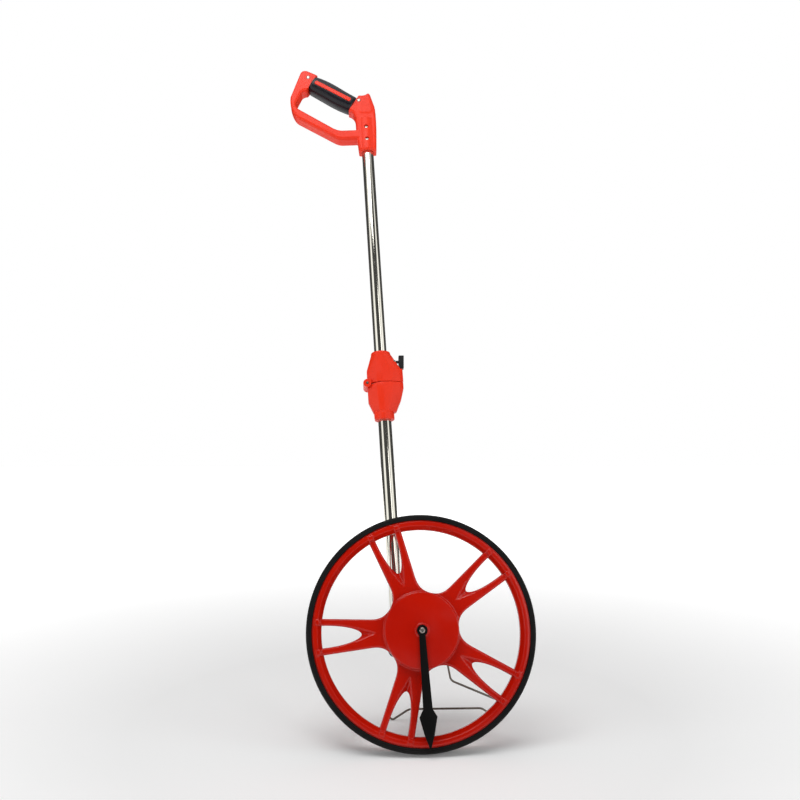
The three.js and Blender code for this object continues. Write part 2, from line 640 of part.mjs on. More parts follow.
function lowerJointHousing() {
  const top = FOLD_PLANE - GAP;
  const outside = hull(
    facetedSection(top, -60.3, 2.6, 18), facetedSection(367, -60.3, 1.6, 18),
    facetedSection(347, -54, -2.7, 17), facetedSection(329, -46.5, -10, 15.5),
  );
  const hollow = hull(
    facetedSection(top + 1, -42, -0.6, 15), facetedSection(366, -42, -1.6, 15),
    facetedSection(350, -42, -6, 14), facetedSection(340, -40, -14, 12),
  );
  const collar = post(COLLAR_RADIUS, LOWER_COLLAR_BOTTOM, 340);
  const sleeve = post(13.2, 330, 354);
  const knuckle = knuckleBand(KNUCKLE_RADIUS, -KNUCKLE_INNER, KNUCKLE_INNER);
  const body = join(cut(outside, hollow, beyondPin(320, top + 1)), collar, sleeve, knuckle);
  return cut(
    body,
    knuckleBand(KNUCKLE_RADIUS + 0.5, -KNUCKLE_OUTER - 4, -KNUCKLE_INNER),
    knuckleBand(KNUCKLE_RADIUS + 0.5, KNUCKLE_INNER, KNUCKLE_OUTER + 4),
    knuckleBand(PIN_RADIUS + 0.2, -30, 30),
    post(LOWER_TUBE_RADIUS + 0.45, LOWER_COLLAR_BOTTOM - 1, LOWER_TUBE_TOP + 8),
    screwHole(TUBE_X, JOINT_SCREW_LOW, TUBE_Y + 5, TUBE_Y + 30),
    disc(3.3, TUBE_Y + 13.7, TUBE_Y + 30, TUBE_X, JOINT_SCREW_LOW, 16),
  );
}

function upperJointHousing() {
  const bottom = FOLD_PLANE + GAP;
  const outside = hull(
    facetedSection(bottom, -59.8, 2.7, 18), facetedSection(394, -54.5, 2.1, 17.5),
    facetedSection(424, -45, -14, 15),
  );
  const hollow = hull(
    facetedSection(bottom - 1, -42, -0.6, 15), facetedSection(394, -42, -1, 14.5),
    facetedSection(420, -41, -16, 12),
  );
  const collar = post(COLLAR_RADIUS, 405, UPPER_COLLAR_TOP);
  const sleeve = post(13, 394, 424);
  const ears = [-1, 1].map((side) => {
    const [from, to] = [side * (KNUCKLE_INNER + GAP), side * KNUCKLE_OUTER].sort((p, q) => p - q);
    const web = block([PIN_X - 2, PIN_X + KNUCKLE_RADIUS], [TUBE_Y + from, TUBE_Y + to], [PIN_Z, bottom + 5]);
    return knuckleBand(KNUCKLE_RADIUS, from, to).add(web);
  });
  const pinCheeks = [[-7.5, -4.3], [4.3, 7.5]].map(([from, to]) => (
    block([LATCH_X - 5, LATCH_X + 8], [TUBE_Y + from, TUBE_Y + to], [LATCH_Z - 6, LATCH_Z + 6])
  )).map((cheek) => cheek.intersect(outside));
  const leverDepth = [TUBE_Y - 4.2, TUBE_Y + 4.2];
  const leverSlot = block([LATCH_X - 6, LATCH_X + 20], leverDepth, [LATCH_Z - 7, LATCH_Z + 7]);
  const leverSpace = block([-14, -1.2], leverDepth, [bottom - 1, LATCH_Z]);
  const ledge = block([-8, 2.9], [TUBE_Y - 6.5, TUBE_Y + 6.5], [bottom, LATCH_Z - 13.2]);
  const knobSpace = block([-4, 12], [TUBE_Y - 6.2, TUBE_Y + 6.2], [LATCH_Z - 13.2, LATCH_Z + 12]);
  const body = join(cut(outside, hollow, beyondPin(bottom - 1, 430)), collar, sleeve, ledge, ...pinCheeks);
  return cut(
    join(cut(body, knuckleBand(KNUCKLE_RADIUS + 0.5, -KNUCKLE_INNER, KNUCKLE_INNER)), ...ears),
    leverSlot,
    leverSpace,
    knobSpace,
    knuckleBand(PIN_RADIUS + 0.2, -30, 30),
    disc(1.5, 40, 72, LATCH_X, LATCH_Z, 12),
    post(UPPER_TUBE_RADIUS + 0.45, 380, UPPER_COLLAR_TOP + 1),
    screwHole(TUBE_X, JOINT_SCREW_HIGH, TUBE_Y + 5, TUBE_Y + 30),
    disc(3.3, TUBE_Y + 13.7, TUBE_Y + 30, TUBE_X, JOINT_SCREW_HIGH, 16),
  );
}

// The hinge pin, plain at the front and riveted over at the rear.
function hingePin() {
  const front = TUBE_Y - KNUCKLE_OUTER;
  const rear = TUBE_Y + KNUCKLE_OUTER;
  return turned([
    [0, front - 0.4], [PIN_RADIUS, front - 0.4], [PIN_RADIUS, rear + GAP],
    [PIN_RADIUS + 1.4, rear + GAP], [PIN_RADIUS + 1, rear + 1.6], [0, rear + 1.6],
  ], 16, PIN_X, PIN_Z);
}

// The latch: a knob outside the joint, a stem through its wall, and an arm down to the lower half.
function latchLever() {
  const knobShape = polygon([-3, 399.8], [5.2, 399.2], [6.6, 420.2], [-1.8, 420.6]);
  const knob = chamferedPlate(knobShape, TUBE_Y - 5.5, TUBE_Y + 5.5, 0.8);
  const stem = block([LATCH_X, -1], [TUBE_Y - 3, TUBE_Y + 3], [LATCH_Z - 1.6, LATCH_Z + 1.6]);
  const arm = plate(
    polygon([-11.5, 411], [-7.2, 409], [-3.4, 395], [-3.2, 368], [-6.4, 368], [-7.4, 394]),
    TUBE_Y - 3, TUBE_Y + 3,
  );
  const eye = disc(3.2, TUBE_Y - 3, TUBE_Y + 3, LATCH_X, LATCH_Z, 16);
  return cut(join(knob, stem, arm, eye), disc(1.5, 40, 72, LATCH_X, LATCH_Z, 12));
}

// A two-turn torsion spring on the latch pin, beside the lever's eye.
function latchSpring() {
  const front = TUBE_Y - 4.1;
  return turnedRing([
    [1.6, front], [2.1, front], [2.6, front + 0.25], [2.1, front + 0.5],
    [2.6, front + 0.75], [2.1, front + 0.85], [1.6, front + 0.85],
  ], 12, LATCH_X, LATCH_Z);
}

// ---------------------------------------------------------------- handle

// The handle's outer outline, clockwise from the socket's lower right corner.
function handleShape() {
  const shape = new THREE.Shape();
  shape.moveTo(-15, 789);
  shape.lineTo(-44.5, 789);
  shape.lineTo(-46, 811);
  shape.lineTo(-72, 811);
  shape.quadraticCurveTo(-79, 811.5, -86, 816);
  shape.lineTo(-146, 855.5);
  shape.bezierCurveTo(-155, 862, -160, 885, -157.5, 899);
  shape.lineTo(-139, 946);
  shape.quadraticCurveTo(-135.5, 953, -127, 950.5);
  shape.lineTo(-113, 943);
  shape.lineTo(-43.5, 899);
  shape.quadraticCurveTo(-31, 895, -25, 901);
  shape.quadraticCurveTo(-20.5, 903.5, -18.5, 893);
  shape.lineTo(-13, 872.5);
  shape.quadraticCurveTo(-11.5, 850, -13.2, 820);
  shape.holes.push(fingerHole());
  return shape;
}

// The opening for the fingers.
function fingerHole() {
  const hole = new THREE.Path();
  hole.moveTo(-47.2, 829.3);
  hole.lineTo(-47.5, 852);
  hole.quadraticCurveTo(-48.5, 863, -58, 867);
  hole.lineTo(-98.7, 889.7);
  hole.lineTo(-118, 906.5);
  hole.bezierCurveTo(-125, 912, -134, 911, -138, 906);
  hole.lineTo(-148, 886);
  hole.quadraticCurveTo(-150, 878.5, -142, 873);
  hole.lineTo(-88, 835.5);
  hole.quadraticCurveTo(-80, 830, -72, 829.3);
  return hole;
}

// The rubber grip lies along a line between its two ends.
const GRIP_LENGTH = GRIP_START.distanceTo(GRIP_END);
const GRIP_ANGLE = Math.atan2(GRIP_END.y - GRIP_START.y, GRIP_END.x - GRIP_START.x);

// A bar along the grip's line, of rounded section, from one distance along it to another.
function gripBar(height, depth, corner, from, to) {
  const section = roundedRectangle(-height / 2, height / 2, -depth / 2, depth / 2, corner);
  const extrusion = { depth: to - from, bevelEnabled: false, curveSegments: 4 };
  const geometry = new THREE.ExtrudeGeometry(section, extrusion);
  geometry.rotateY(Math.PI / 2);
  geometry.translate(from, 0, 0).rotateY(-GRIP_ANGLE);
  return solid(geometry.translate(GRIP_START.x, HANDLE_SPLIT, GRIP_START.y));
}

const HANDLE_TUBE_SCREWS = [[-30, 832.5], [-30, 809]];
const HANDLE_SHELL_SCREWS = [[-125.6, 935.7], [-40.1, 886.5]];

// Hollows inside the shells, leaving ribs between them.
const HANDLE_POCKETS = [
  polygon([-44, 856], [-16, 856], [-20, 879], [-44, 879]),
  polygon([-151, 886], [-154, 899], [-139, 938], [-130, 934], [-130, 916], [-138, 912], [-145, 898]),
  polygon([-141.5, 870], [-147.5, 861], [-90, 820.5], [-83, 830]),
  polygon([-79, 814], [-49.5, 814], [-49.5, 827], [-77, 827]),
];

// One half of the handle's shell. `side` is -1 for the front half and 1 for the rear half.
function handleShell(side) {
  const parting = HANDLE_SPLIT + side * GAP / 2;
  const face = side < 0 ? HANDLE_FRONT - 1 : HANDLE_REAR + 1;
  const half = block([-200, 20], [Math.min(parting, face), Math.max(parting, face)], [760, 1000]);
  const outside = chamferedPlate(handleShape(), HANDLE_FRONT, HANDLE_REAR, 2, 5);
  const socket = post(COLLAR_RADIUS - 0.3, 789, 850, TUBE_X, TUBE_Y, 24);
  const gripSpace = gripBar(48, 60, 2, -GAP, GRIP_LENGTH + GAP);
  const core = gripBar(22, 20, 4, -6, GRIP_LENGTH + 6);
  const pockets = HANDLE_POCKETS.map((shape) => plate(shape, HANDLE_FRONT + 2.6, HANDLE_REAR - 2.6));
  pockets.push(gripBar(17, 15, 3, 3, GRIP_LENGTH - 3));
  const screws = [...HANDLE_TUBE_SCREWS, ...HANDLE_SHELL_SCREWS];
  const holes = [
    ...HANDLE_TUBE_SCREWS.map(([x, z]) => screwHole(x, z, 30, TUBE_Y)),
    ...HANDLE_SHELL_SCREWS.map(([x, z]) => screwHole(x, z, 30, HANDLE_REAR - 4)),
    ...screws.map(([x, z]) => disc(3.3, 30, HANDLE_FRONT + 1.4, x, z, 16)),
  ];
  const tubeBore = post(UPPER_TUBE_RADIUS + 0.45, 780, UPPER_TUBE_TOP + GAP);
  const whole = join(cut(outside, gripSpace), core, socket);
  return cut(whole, tubeBore, ...pockets, ...holes).intersect(half);
}

// The rubber sleeve, with a window on each face for the red inlay.
function handleGrip() {
  const sleeve = gripBar(33.5, 33, 9, 0, GRIP_LENGTH);
  const core = gripBar(22 + 2 * GAP, 20 + 2 * GAP, 4, -10, GRIP_LENGTH + 10);
  const windows = [-1, 1].map((side) => inlayBar(7 + 2 * GAP, 10, 71 + 2 * GAP, side * 16));
  return cut(sleeve, core, ...windows);
}

// A flat bar set into one face of the grip.
function inlayBar(height, depth, length, offset) {
  const start = (GRIP_LENGTH - length) / 2;
  return gripBar(height, depth, Math.min(height, depth) / 3, start, start + length).translate([0, offset, 0]);
}

// ---------------------------------------------------------------- assembly

const standPieces = new THREE.Group();
standPieces.rotation.y = LEAN_SIDE;
standPieces.add(
  part('kickstand_wire', kickstandWire(), DARK_STEEL),
  part('stand_bracket', standBracket(), BLACK),
);
STAND_SCREW_XS.forEach((x, i) => {
  const body = screw({
    x, z: STAND_SCREW_Z, face: CASE_REAR + 4.8, into: -1, headRadius: 2.6, headHeight: 1.8, length: 1.6,
  });
  standPieces.add(part(`bracket_screw_${i + 1}`, body, STEEL));
});

const wheelFrame = new THREE.Group();
wheelFrame.rotation.y = -LEAN_SIDE;
wheelFrame.add(
  standPieces,
  part('spoked_wheel', spokedWheel(), RED),
  part('tyre', tyre(), RUBBER),
  part('hub_cover', hubCover(), RED),
  part('front_bush', bush(-12, -6), NYLON),
  part('rear_bush', bush(6, 12.6), NYLON),
  part('hub_drive_gear', hubDriveGear(), NYLON),
  part('axle', axle(), STEEL),
  part('axle_nut', axleNut(), STEEL),
  part('pointer', pointer(), BLACK),
  part('pointer_screw', pointerScrew(), STEEL),
  part('gear_case', gearCase(), BLACK),
  part('gear_case_cover', gearCaseCover(), BLACK),
  part('counter_window', counterWindow(), CLEAR),
  part('drum_shaft', drumShaft(), STEEL),
  part('counter_gear', counterGear(), NYLON),
  part('reset_button', resetButton(), DARK_RED),
  part('reset_spring', resetSpring(), STEEL),
  part('tube_screw', tubeScrew(), STEEL),
  part('lower_tube', lowerTube(), STEEL),
  part('lower_joint_housing', lowerJointHousing(), RED),
  part('hinge_pin', hingePin(), DARK_STEEL),
  part('upper_joint_housing', upperJointHousing(), RED),
  part('latch_lever', latchLever(), BLACK),
  part('latch_pin', disc(1.25, TUBE_Y - 7.4, TUBE_Y + 7.4, LATCH_X, LATCH_Z, 12), STEEL),
  part('latch_spring', latchSpring(), STEEL),
  part('upper_tube', upperTube(), STEEL),
  part('handle_front_shell', handleShell(-1), RED),
  part('handle_rear_shell', handleShell(1), RED),
  part('handle_grip', handleGrip(), RUBBER),
  part('grip_inlay_front', inlayBar(7, 3.4, 71, -14.6), RED),
  part('grip_inlay_rear', inlayBar(7, 3.4, 71, 14.6), RED),
);
for (let order = 0; order < DRUM_COUNT; order++) {
  wheelFrame.add(part(`digit_drum_${order + 1}`, digitDrum(order), WHITE));
}
CASE_SCREWS.forEach(([x, z], i) => {
  const body = screw({ x, z, face: CASE_REAR - 0.2, into: -1, headRadius: 3, headHeight: 1.8, length: 18 });
  wheelFrame.add(part(`case_screw_${i + 1}`, body, STEEL));
});
[JOINT_SCREW_LOW, JOINT_SCREW_HIGH].forEach((z, i) => {
  const body = screw({ x: TUBE_X, z, face: TUBE_Y + 16, into: -1, headRadius: 3, headHeight: 2, length: 6 });
  wheelFrame.add(part(`joint_screw_${i + 1}`, body, STEEL));
});
HANDLE_SHELL_SCREWS.forEach(([x, z], i) => {
  const body = screw({ x, z, face: HANDLE_FRONT - 0.7, into: 1, headRadius: 3, headHeight: 1.8, length: 18 });
  wheelFrame.add(part(`handle_screw_${i + 1}`, body, STEEL));
});
HANDLE_TUBE_SCREWS.forEach(([x, z], i) => {
  const body = screw({ x, z, face: HANDLE_FRONT - 0.7, into: 1, headRadius: 3, headHeight: 1.8, length: 7 });
  wheelFrame.add(part(`handle_screw_${i + 3}`, body, STEEL));
});

// Lean the wheel back on its stand, then put the lowest point on the floor and the middle of
// the outline over the origin.
const measuringWheel = new THREE.Group();
const leaning = new THREE.Group();
leaning.rotation.x = -LEAN_BACK;
leaning.add(wheelFrame);
measuringWheel.add(leaning);
const extent = new THREE.Box3().setFromObject(measuringWheel, true);
const middle = extent.getCenter(new THREE.Vector3());
leaning.position.set(-middle.x, -middle.y, -extent.min.z);

export default measuringWheel;
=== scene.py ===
# A folding measuring wheel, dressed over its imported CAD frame.
#
# Shapes are drawn in millimetres in the wheel's own frame: the origin is the hub's centre,
# x runs across the wheel, y along the axle from the pointer to the gear case, and z up along
# the tubes. WHEEL_FRAME sets that frame down in the row frame, from the record's own joints.

import json
import math

import bmesh
import bpy
from mathutils import Matrix, Vector


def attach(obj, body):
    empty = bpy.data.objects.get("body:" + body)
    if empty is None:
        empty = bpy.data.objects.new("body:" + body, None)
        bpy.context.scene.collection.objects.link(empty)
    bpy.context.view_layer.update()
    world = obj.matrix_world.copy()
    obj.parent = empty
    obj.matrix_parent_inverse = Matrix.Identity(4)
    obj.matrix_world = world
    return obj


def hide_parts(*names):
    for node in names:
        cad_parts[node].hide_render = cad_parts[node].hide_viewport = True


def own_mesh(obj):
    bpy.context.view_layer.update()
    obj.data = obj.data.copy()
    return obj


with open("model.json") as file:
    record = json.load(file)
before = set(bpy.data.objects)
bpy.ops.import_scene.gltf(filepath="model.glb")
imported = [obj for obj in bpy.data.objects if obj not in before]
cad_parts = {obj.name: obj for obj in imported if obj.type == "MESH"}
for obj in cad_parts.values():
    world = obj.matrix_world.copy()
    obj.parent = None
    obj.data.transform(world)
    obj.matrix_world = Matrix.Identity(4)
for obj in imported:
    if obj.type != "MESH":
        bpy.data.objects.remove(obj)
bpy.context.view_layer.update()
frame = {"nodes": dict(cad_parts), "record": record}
MM = 0.001

JOINTS = {joint["name"]: joint for joint in frame["record"]["behaviour"]["joints"]}
HUB = Vector(JOINTS["wheel_spin"]["pos_m"])
ALONG = Vector(JOINTS["wheel_spin"]["axis"]).normalized()
ACROSS = -Vector(JOINTS["reset_press"]["axis"]).normalized()


def frame_at(across):
    """The matrix of a frame at the hub whose y axis runs along the axle."""
    matrix = Matrix((across, ALONG, across.cross(ALONG))).transposed().to_4x4()
    matrix.translation = HUB
    return matrix


WHEEL_FRAME = frame_at(ACROSS)
STAND_FRAME = frame_at(Vector((1, 0, 0)))      # the kickstand is level with the floor

# ------------------------------------------------------------------ driving dimensions, mm

GAP = 0.3
WHEEL_RADIUS = 1000 / (2 * math.pi)
RIM_RADIUS = 151
RIM_LIP_RADIUS = 143.5
RIM_BORE_RADIUS = 138
RIM_HALF_WIDTH = 12
SPOKE_COUNT = 5
CROTCH_RADIUS = 82.7
SPOKE_FRONT = -8.5
SPOKE_REAR = 7
PRONG_END = 19.7                               # each prong meets the rim this far off the spoke's line
WEB_RADIUS = 52
HUB_COVER_RADIUS = 51
HUB_COVER_FRONT = -20
POINTER_FRONT = -25
COUNTER = (30 * math.cos(math.radians(50)), 30 * math.sin(math.radians(50)))
CASE = (-46, 46, -34, 42.5)                    # left, right, bottom, top
CASE_FRONT = 20
CASE_SPLIT = 70
CASE_REAR = 78
BUTTON = (45, -12)                             # the reset button's axis: along the axle, and up
DRUM_RADIUS = 14
DRUM_FIRST = 30.5
DRUM_PITCH = 6.9
DRUM_WIDTH = 6.4
TUBE_X = -30
TUBE_Y = 56
LOWER_TUBE_RADIUS = 10.25
UPPER_TUBE_RADIUS = 9.8
FOLD_PLANE = 375.5
PIN = (-53.8, 374.6)
KNUCKLE_RADIUS = 6.4
COLLAR_RADIUS = 15.5
LATCH = (-9.5, 411)
HANDLE_FRONT = 44
HANDLE_REAR = 68
GRIP_START = Vector((-118.5, 926.5))
GRIP_END = Vector((-49.5, 881.5))
GRIP_LENGTH = (GRIP_END - GRIP_START).length
GRIP_ANGLE = math.atan2(GRIP_END.y - GRIP_START.y, GRIP_END.x - GRIP_START.x)
WIRE_RADIUS = 1.5
STAND_PIVOT = (83, -12)                        # along the axle, and up
STAND_FOOT_ALONG = 130

# ------------------------------------------------------------------ mesh tools


def link(obj):
    """Puts an object in the scene and returns it."""
    bpy.context.scene.collection.objects.link(obj)
    return obj


def finished(obj):
    """The object's mesh with its modifiers applied; the object goes."""
    depsgraph = bpy.context.evaluated_depsgraph_get()
    mesh = bpy.data.meshes.new_from_object(obj.evaluated_get(depsgraph))
    bpy.data.objects.remove(obj)
    return mesh


def edited(mesh, edit):
    """Runs edit(bm) on a mesh and returns the mesh."""
    bm = bmesh.new()
    bm.from_mesh(mesh)
    edit(bm)
    bm.to_mesh(mesh)
    bm.free()
    return mesh


def from_bmesh(bm, name="shape"):
    """A mesh from a bmesh, its faces turned outwards; the bmesh goes."""
    bmesh.ops.recalc_face_normals(bm, faces=bm.faces)
    mesh = bpy.data.meshes.new(name)
    bm.to_mesh(mesh)
    bm.free()
    return mesh


def moved(mesh, matrix):
    mesh.transform(matrix)
    return mesh


def shifted(mesh, x, y, z):
    return moved(mesh, Matrix.Translation((x * MM, y * MM, z * MM)))


def joined(meshes):
    """Several meshes as the loose parts of one."""
    bm = bmesh.new()
    for mesh in meshes:
        bm.from_mesh(mesh)
    return from_bmesh(bm)


def boolean(base, operation, tools):
    """One closed mesh after joining or cutting it with others."""
    obj = link(bpy.data.objects.new("base", base))
    helpers = []
    for tool in tools:
        helper = link(bpy.data.objects.new("tool", tool))
        modifier = obj.modifiers.new("boolean", "BOOLEAN")
        modifier.operation = operation
        modifier.solver = "MANIFOLD"
        modifier.object = helper
        helpers.append(helper)
    mesh = finished(obj)
    for helper in helpers:
        bpy.data.objects.remove(helper)
    return mesh


def cut(base, *tools):
    return boolean(base, "DIFFERENCE", tools)


def union(base, *others):
    return boolean(base, "UNION", others)


def bevelled(mesh, width, segments=3, angle=25):
    """The mesh with every edge sharper than the angle rounded."""
    obj = link(bpy.data.objects.new("bevelled", mesh))
    modifier = obj.modifiers.new("bevel", "BEVEL")
    modifier.width = width * MM
    modifier.segments = segments
    modifier.limit_method = "ANGLE"
    modifier.angle_limit = math.radians(angle)
    modifier.harden_normals = False
    return finished(obj)


def melted(mesh, voxel, passes):
    """A closed mesh made again on a fine grid and smoothed, so that its joints run together."""
    obj = link(bpy.data.objects.new("melted", mesh))
    remesh = obj.modifiers.new("remesh", "REMESH")
    remesh.mode = "VOXEL"
    remesh.voxel_size = voxel * MM
    smooth = obj.modifiers.new("smooth", "SMOOTH")
    smooth.factor = 0.5
    smooth.iterations = passes
    return finished(obj)


class Outline:
    """A flat outline in x and z, drawn with lines, curves and arcs."""

    def __init__(self, x, z):
        self.points = [Vector((x, z))]

    def line(self, x, z):
        self.points.append(Vector((x, z)))
        return self

    def curve(self, *controls, steps=10):
        """A Bezier curve of any degree from the last point."""
        poles = [self.points[-1]] + [Vector(control) for control in controls]
        for step in range(1, steps + 1):
            t = step / steps
            level = poles
            while len(level) > 1:
                level = [a.lerp(b, t) for a, b in zip(level, level[1:])]
            self.points.append(level[0])
        return self


def fillet(points, radius, steps=4):
    """A closed polygon with its corners rounded."""
    corners = [Vector(point) for point in points]
    rounded = []
    for i, corner in enumerate(corners):
        before = corners[i - 1] - corner
        after = corners[(i + 1) % len(corners)] - corner
        half = before.angle(after) / 2
        reach = radius / math.tan(half)
        reach = min(reach, before.length * 0.48, after.length * 0.48)
        start = corner + before.normalized() * reach
        end = corner + after.normalized() * reach
        for step in range(steps + 1):
            t = step / steps
            rounded.append(start.lerp(corner, t).lerp(corner.lerp(end, t), t))
    return rounded


def weld(bm):
    """Joins the corners that meet, so that a mesh made from a curve is closed."""
    bmesh.ops.remove_doubles(bm, verts=bm.verts, dist=1e-6)
    bmesh.ops.dissolve_degenerate(bm, edges=bm.edges, dist=1e-7)
    bmesh.ops.recalc_face_normals(bm, faces=bm.faces)


def slab(outline, front, rear, edge=0.0, steps=3, hole=None):
    """A flat outline with thickness along the axle, its edges rounded inside the outline."""
    curve = bpy.data.curves.new("outline", "CURVE")
    curve.dimensions = "2D"
    curve.fill_mode = "BOTH"
    for ring in (outline, hole):
        if ring is None:
            continue
        spline = curve.splines.new("POLY")
        spline.points.add(len(ring) - 1)
        for target, point in zip(spline.points, ring):
            target.co = (point[0] * MM, point[1] * MM, 0, 1)
        spline.use_cyclic_u = True
    curve.extrude = ((rear - front) / 2 - edge) * MM
    curve.bevel_depth = edge * MM
    curve.bevel_resolution = steps
    curve.offset = -edge * MM
    mesh = finished(link(bpy.data.objects.new("outline", curve)))
    upright = Matrix.Translation((0, (front + rear) / 2 * MM, 0)) @ Matrix.Rotation(math.pi / 2, 4, "X")

    return edited(moved(mesh, upright), weld)


def revolved(profile, segments=96, axis="Y", at=(0, 0, 0)):
    """A closed profile of (radius, distance) turned about an axis through a point."""
    bm = bmesh.new()
    rings = []
    for radius, distance in profile:
        if radius < 1e-6:
            rings.append([bm.verts.new((0, 0, distance * MM))] * segments)
            continue
        ring = []
        for i in range(segments):
            angle = 2 * math.pi * i / segments
            corner = (radius * math.cos(angle), radius * math.sin(angle), distance)
            ring.append(bm.verts.new(Vector(corner) * MM))
        rings.append(ring)
    for first, second in zip(rings, rings[1:] + rings[:1]):
        for i in range(segments):
            j = (i + 1) % segments
            corners = dict.fromkeys([first[i], first[j], second[j], second[i]])
            if len(corners) > 2:
                bm.faces.new(corners)
    turn = {
        "X": Matrix.Rotation(math.pi / 2, 4, "Y"),
        "Y": Matrix.Rotation(-math.pi / 2, 4, "X"),
        "Z": Matrix.Identity(4),
    }[axis]
    return shifted(moved(from_bmesh(bm), turn), *at)


def rod(radius, start, end, axis="Y", at=(0, 0, 0), edge=0.4, segments=48):
    """A solid cylinder with softened ends."""
    profile = [(0, start), (radius - edge, start), (radius, start + edge),
               (radius, end - edge), (radius - edge, end), (0, end)]
    return revolved(profile, segments, axis, at)


def box(low, high, edge=0.0, segments=2):
    """A block between two corners, with rounded edges."""
    bm = bmesh.new()
    size = [(b - a) * MM for a, b in zip(low, high)]
    centre = [(a + b) / 2 * MM for a, b in zip(low, high)]
    bmesh.ops.create_cube(bm, size=1, matrix=Matrix.Translation(centre) @ Matrix.Diagonal((*size, 1)))
    mesh = from_bmesh(bm)
    return bevelled(mesh, edge, segments) if edge else mesh


def hull(points):
    """The convex solid round a cloud of (x, y, z) points, its flat faces whole."""
    bm = bmesh.new()
    for point in points:
        bm.verts.new(Vector(point) * MM)
    result = bmesh.ops.convex_hull(bm, input=bm.verts)
    stray = [item for item in result["geom_interior"] if isinstance(item, bmesh.types.BMVert)]
    bmesh.ops.delete(bm, geom=stray, context="VERTS")
    bmesh.ops.dissolve_limit(bm, angle_limit=math.radians(1), verts=bm.verts, edges=bm.edges)
    return from_bmesh(bm)


def wire(route, radius, segments=16):
    """A round wire along a list of points, closed at both ends."""
    points = [Vector(point) * MM for point in route]
    bm = bmesh.new()
    rings = []
    side = Vector((0, 1, 0))
    for i, point in enumerate(points):
        ahead = points[min(i + 1, len(points) - 1)] - points[max(i - 1, 0)]
        ahead.normalize()
        side = (side - ahead * side.dot(ahead)).normalized()
        across = ahead.cross(side)
        ring = []
        for k in range(segments):
            angle = 2 * math.pi * k / segments
            offset = side * math.cos(angle) + across * math.sin(angle)
            ring.append(bm.verts.new(point + offset * radius * MM))
        rings.append(ring)
    for first, second in zip(rings, rings[1:]):
        for k in range(segments):
            j = (k + 1) % segments
            bm.faces.new((first[k], first[j], second[j], second[k]))
    bm.faces.new(rings[0][::-1])
    bm.faces.new(rings[-1])
    return from_bmesh(bm)


def piece(name, mesh, look, body, nodes, place=WHEEL_FRAME, angle=32):
    """A named piece that rides on a body and stands for its CAD nodes."""
    mesh.name = name
    mesh.materials.clear()
    mesh.materials.append(look)
    mesh.shade_smooth()
    mesh.set_sharp_from_angle(angle=math.radians(angle))
    obj = link(bpy.data.objects.new(name, moved(mesh, place)))
    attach(obj, body)
    if nodes:
        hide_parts(*nodes)
    return obj


# ------------------------------------------------------------------ materials


class Look:
    """A material and short ways to add nodes to it."""

    def __init__(self, name, **constants):
        self.material = bpy.data.materials.new(name)
        self.material.use_nodes = True
        self.tree = self.material.node_tree
        self.shader = self.tree.nodes["Principled BSDF"]
        for socket, value in constants.items():
            self.shader.inputs[socket.replace("_", " ")].default_value = value
        self.place = self.tree.nodes.new("ShaderNodeTexCoord").outputs["Object"]

    def node(self, kind, links=(), **settings):
        node = self.tree.nodes.new(kind)
        for key, value in settings.items():
            if key in node.inputs:
                node.inputs[key].default_value = value
            else:
                setattr(node, key, value)
        for socket, source in links:
            self.tree.links.new(source, node.inputs[socket])
        return node

    def stretched(self, x, y, z):
        """Coordinates turned into the wheel's own frame and scaled along each of its axes."""
        mapping = self.node(
            "ShaderNodeMapping", [("Vector", self.place)], vector_type="TEXTURE",
            Rotation=WHEEL_FRAME.to_euler(), Scale=(1 / x, 1 / y, 1 / z),
        )
        return mapping.outputs["Vector"]

    def noise(self, scale, detail=4.0, where=None):
        links = [("Vector", where or self.place)]
        return self.node("ShaderNodeTexNoise", links, Scale=scale, Detail=detail).outputs["Fac"]

    def ranged(self, source, low, high, from_low=0.3, from_high=0.7):
        node = self.node("ShaderNodeMapRange", [("Value", source)])
        node.inputs["From Min"].default_value = from_low
        node.inputs["From Max"].default_value = from_high
        node.inputs["To Min"].default_value = low
        node.inputs["To Max"].default_value = high
        return node.outputs["Result"]

    def mixed(self, factor, first, second):
        """A colour between two, each a colour or another node's output."""
        node = self.node("ShaderNodeMix", data_type="RGBA")
        self.tree.links.new(factor, node.inputs["Factor"])
        for socket, colour in ((node.inputs[6], first), (node.inputs[7], second)):
            if isinstance(colour, tuple):
                socket.default_value = (*colour, 1)
            else:
                self.tree.links.new(colour, socket)
        return node.outputs[2]

    def feed(self, socket, source):
        self.tree.links.new(source, self.shader.inputs[socket])

    def bump(self, height, distance, strength=1.0, under=None):
        """A bump in metres, laid over another if one is given."""
        links = [("Height", height)]
        if under:
            links.append(("Normal", under))
        node = self.node("ShaderNodeBump", links)
        node.inputs["Distance"].default_value = distance
        node.inputs["Strength"].default_value = strength
        return node.outputs["Normal"]


def scratches(look, density, stretch):
    """A mask of thin, short scratches that lie one way."""
    links = [("Vector", look.stretched(*stretch))]
    cells = look.node("ShaderNodeTexVoronoi", links, Scale=density, feature="DISTANCE_TO_EDGE")
    thin = look.ranged(cells.outputs["Distance"], 1.0, 0.0, 0.0, 0.02)
    patches = look.ranged(look.noise(14, 3), 0.0, 1.0, 0.52, 0.62)
    both = look.node("ShaderNodeMath", operation="MULTIPLY")
    look.tree.links.new(thin, both.inputs[0])
    look.tree.links.new(patches, both.inputs[1])
    return both.outputs[0]


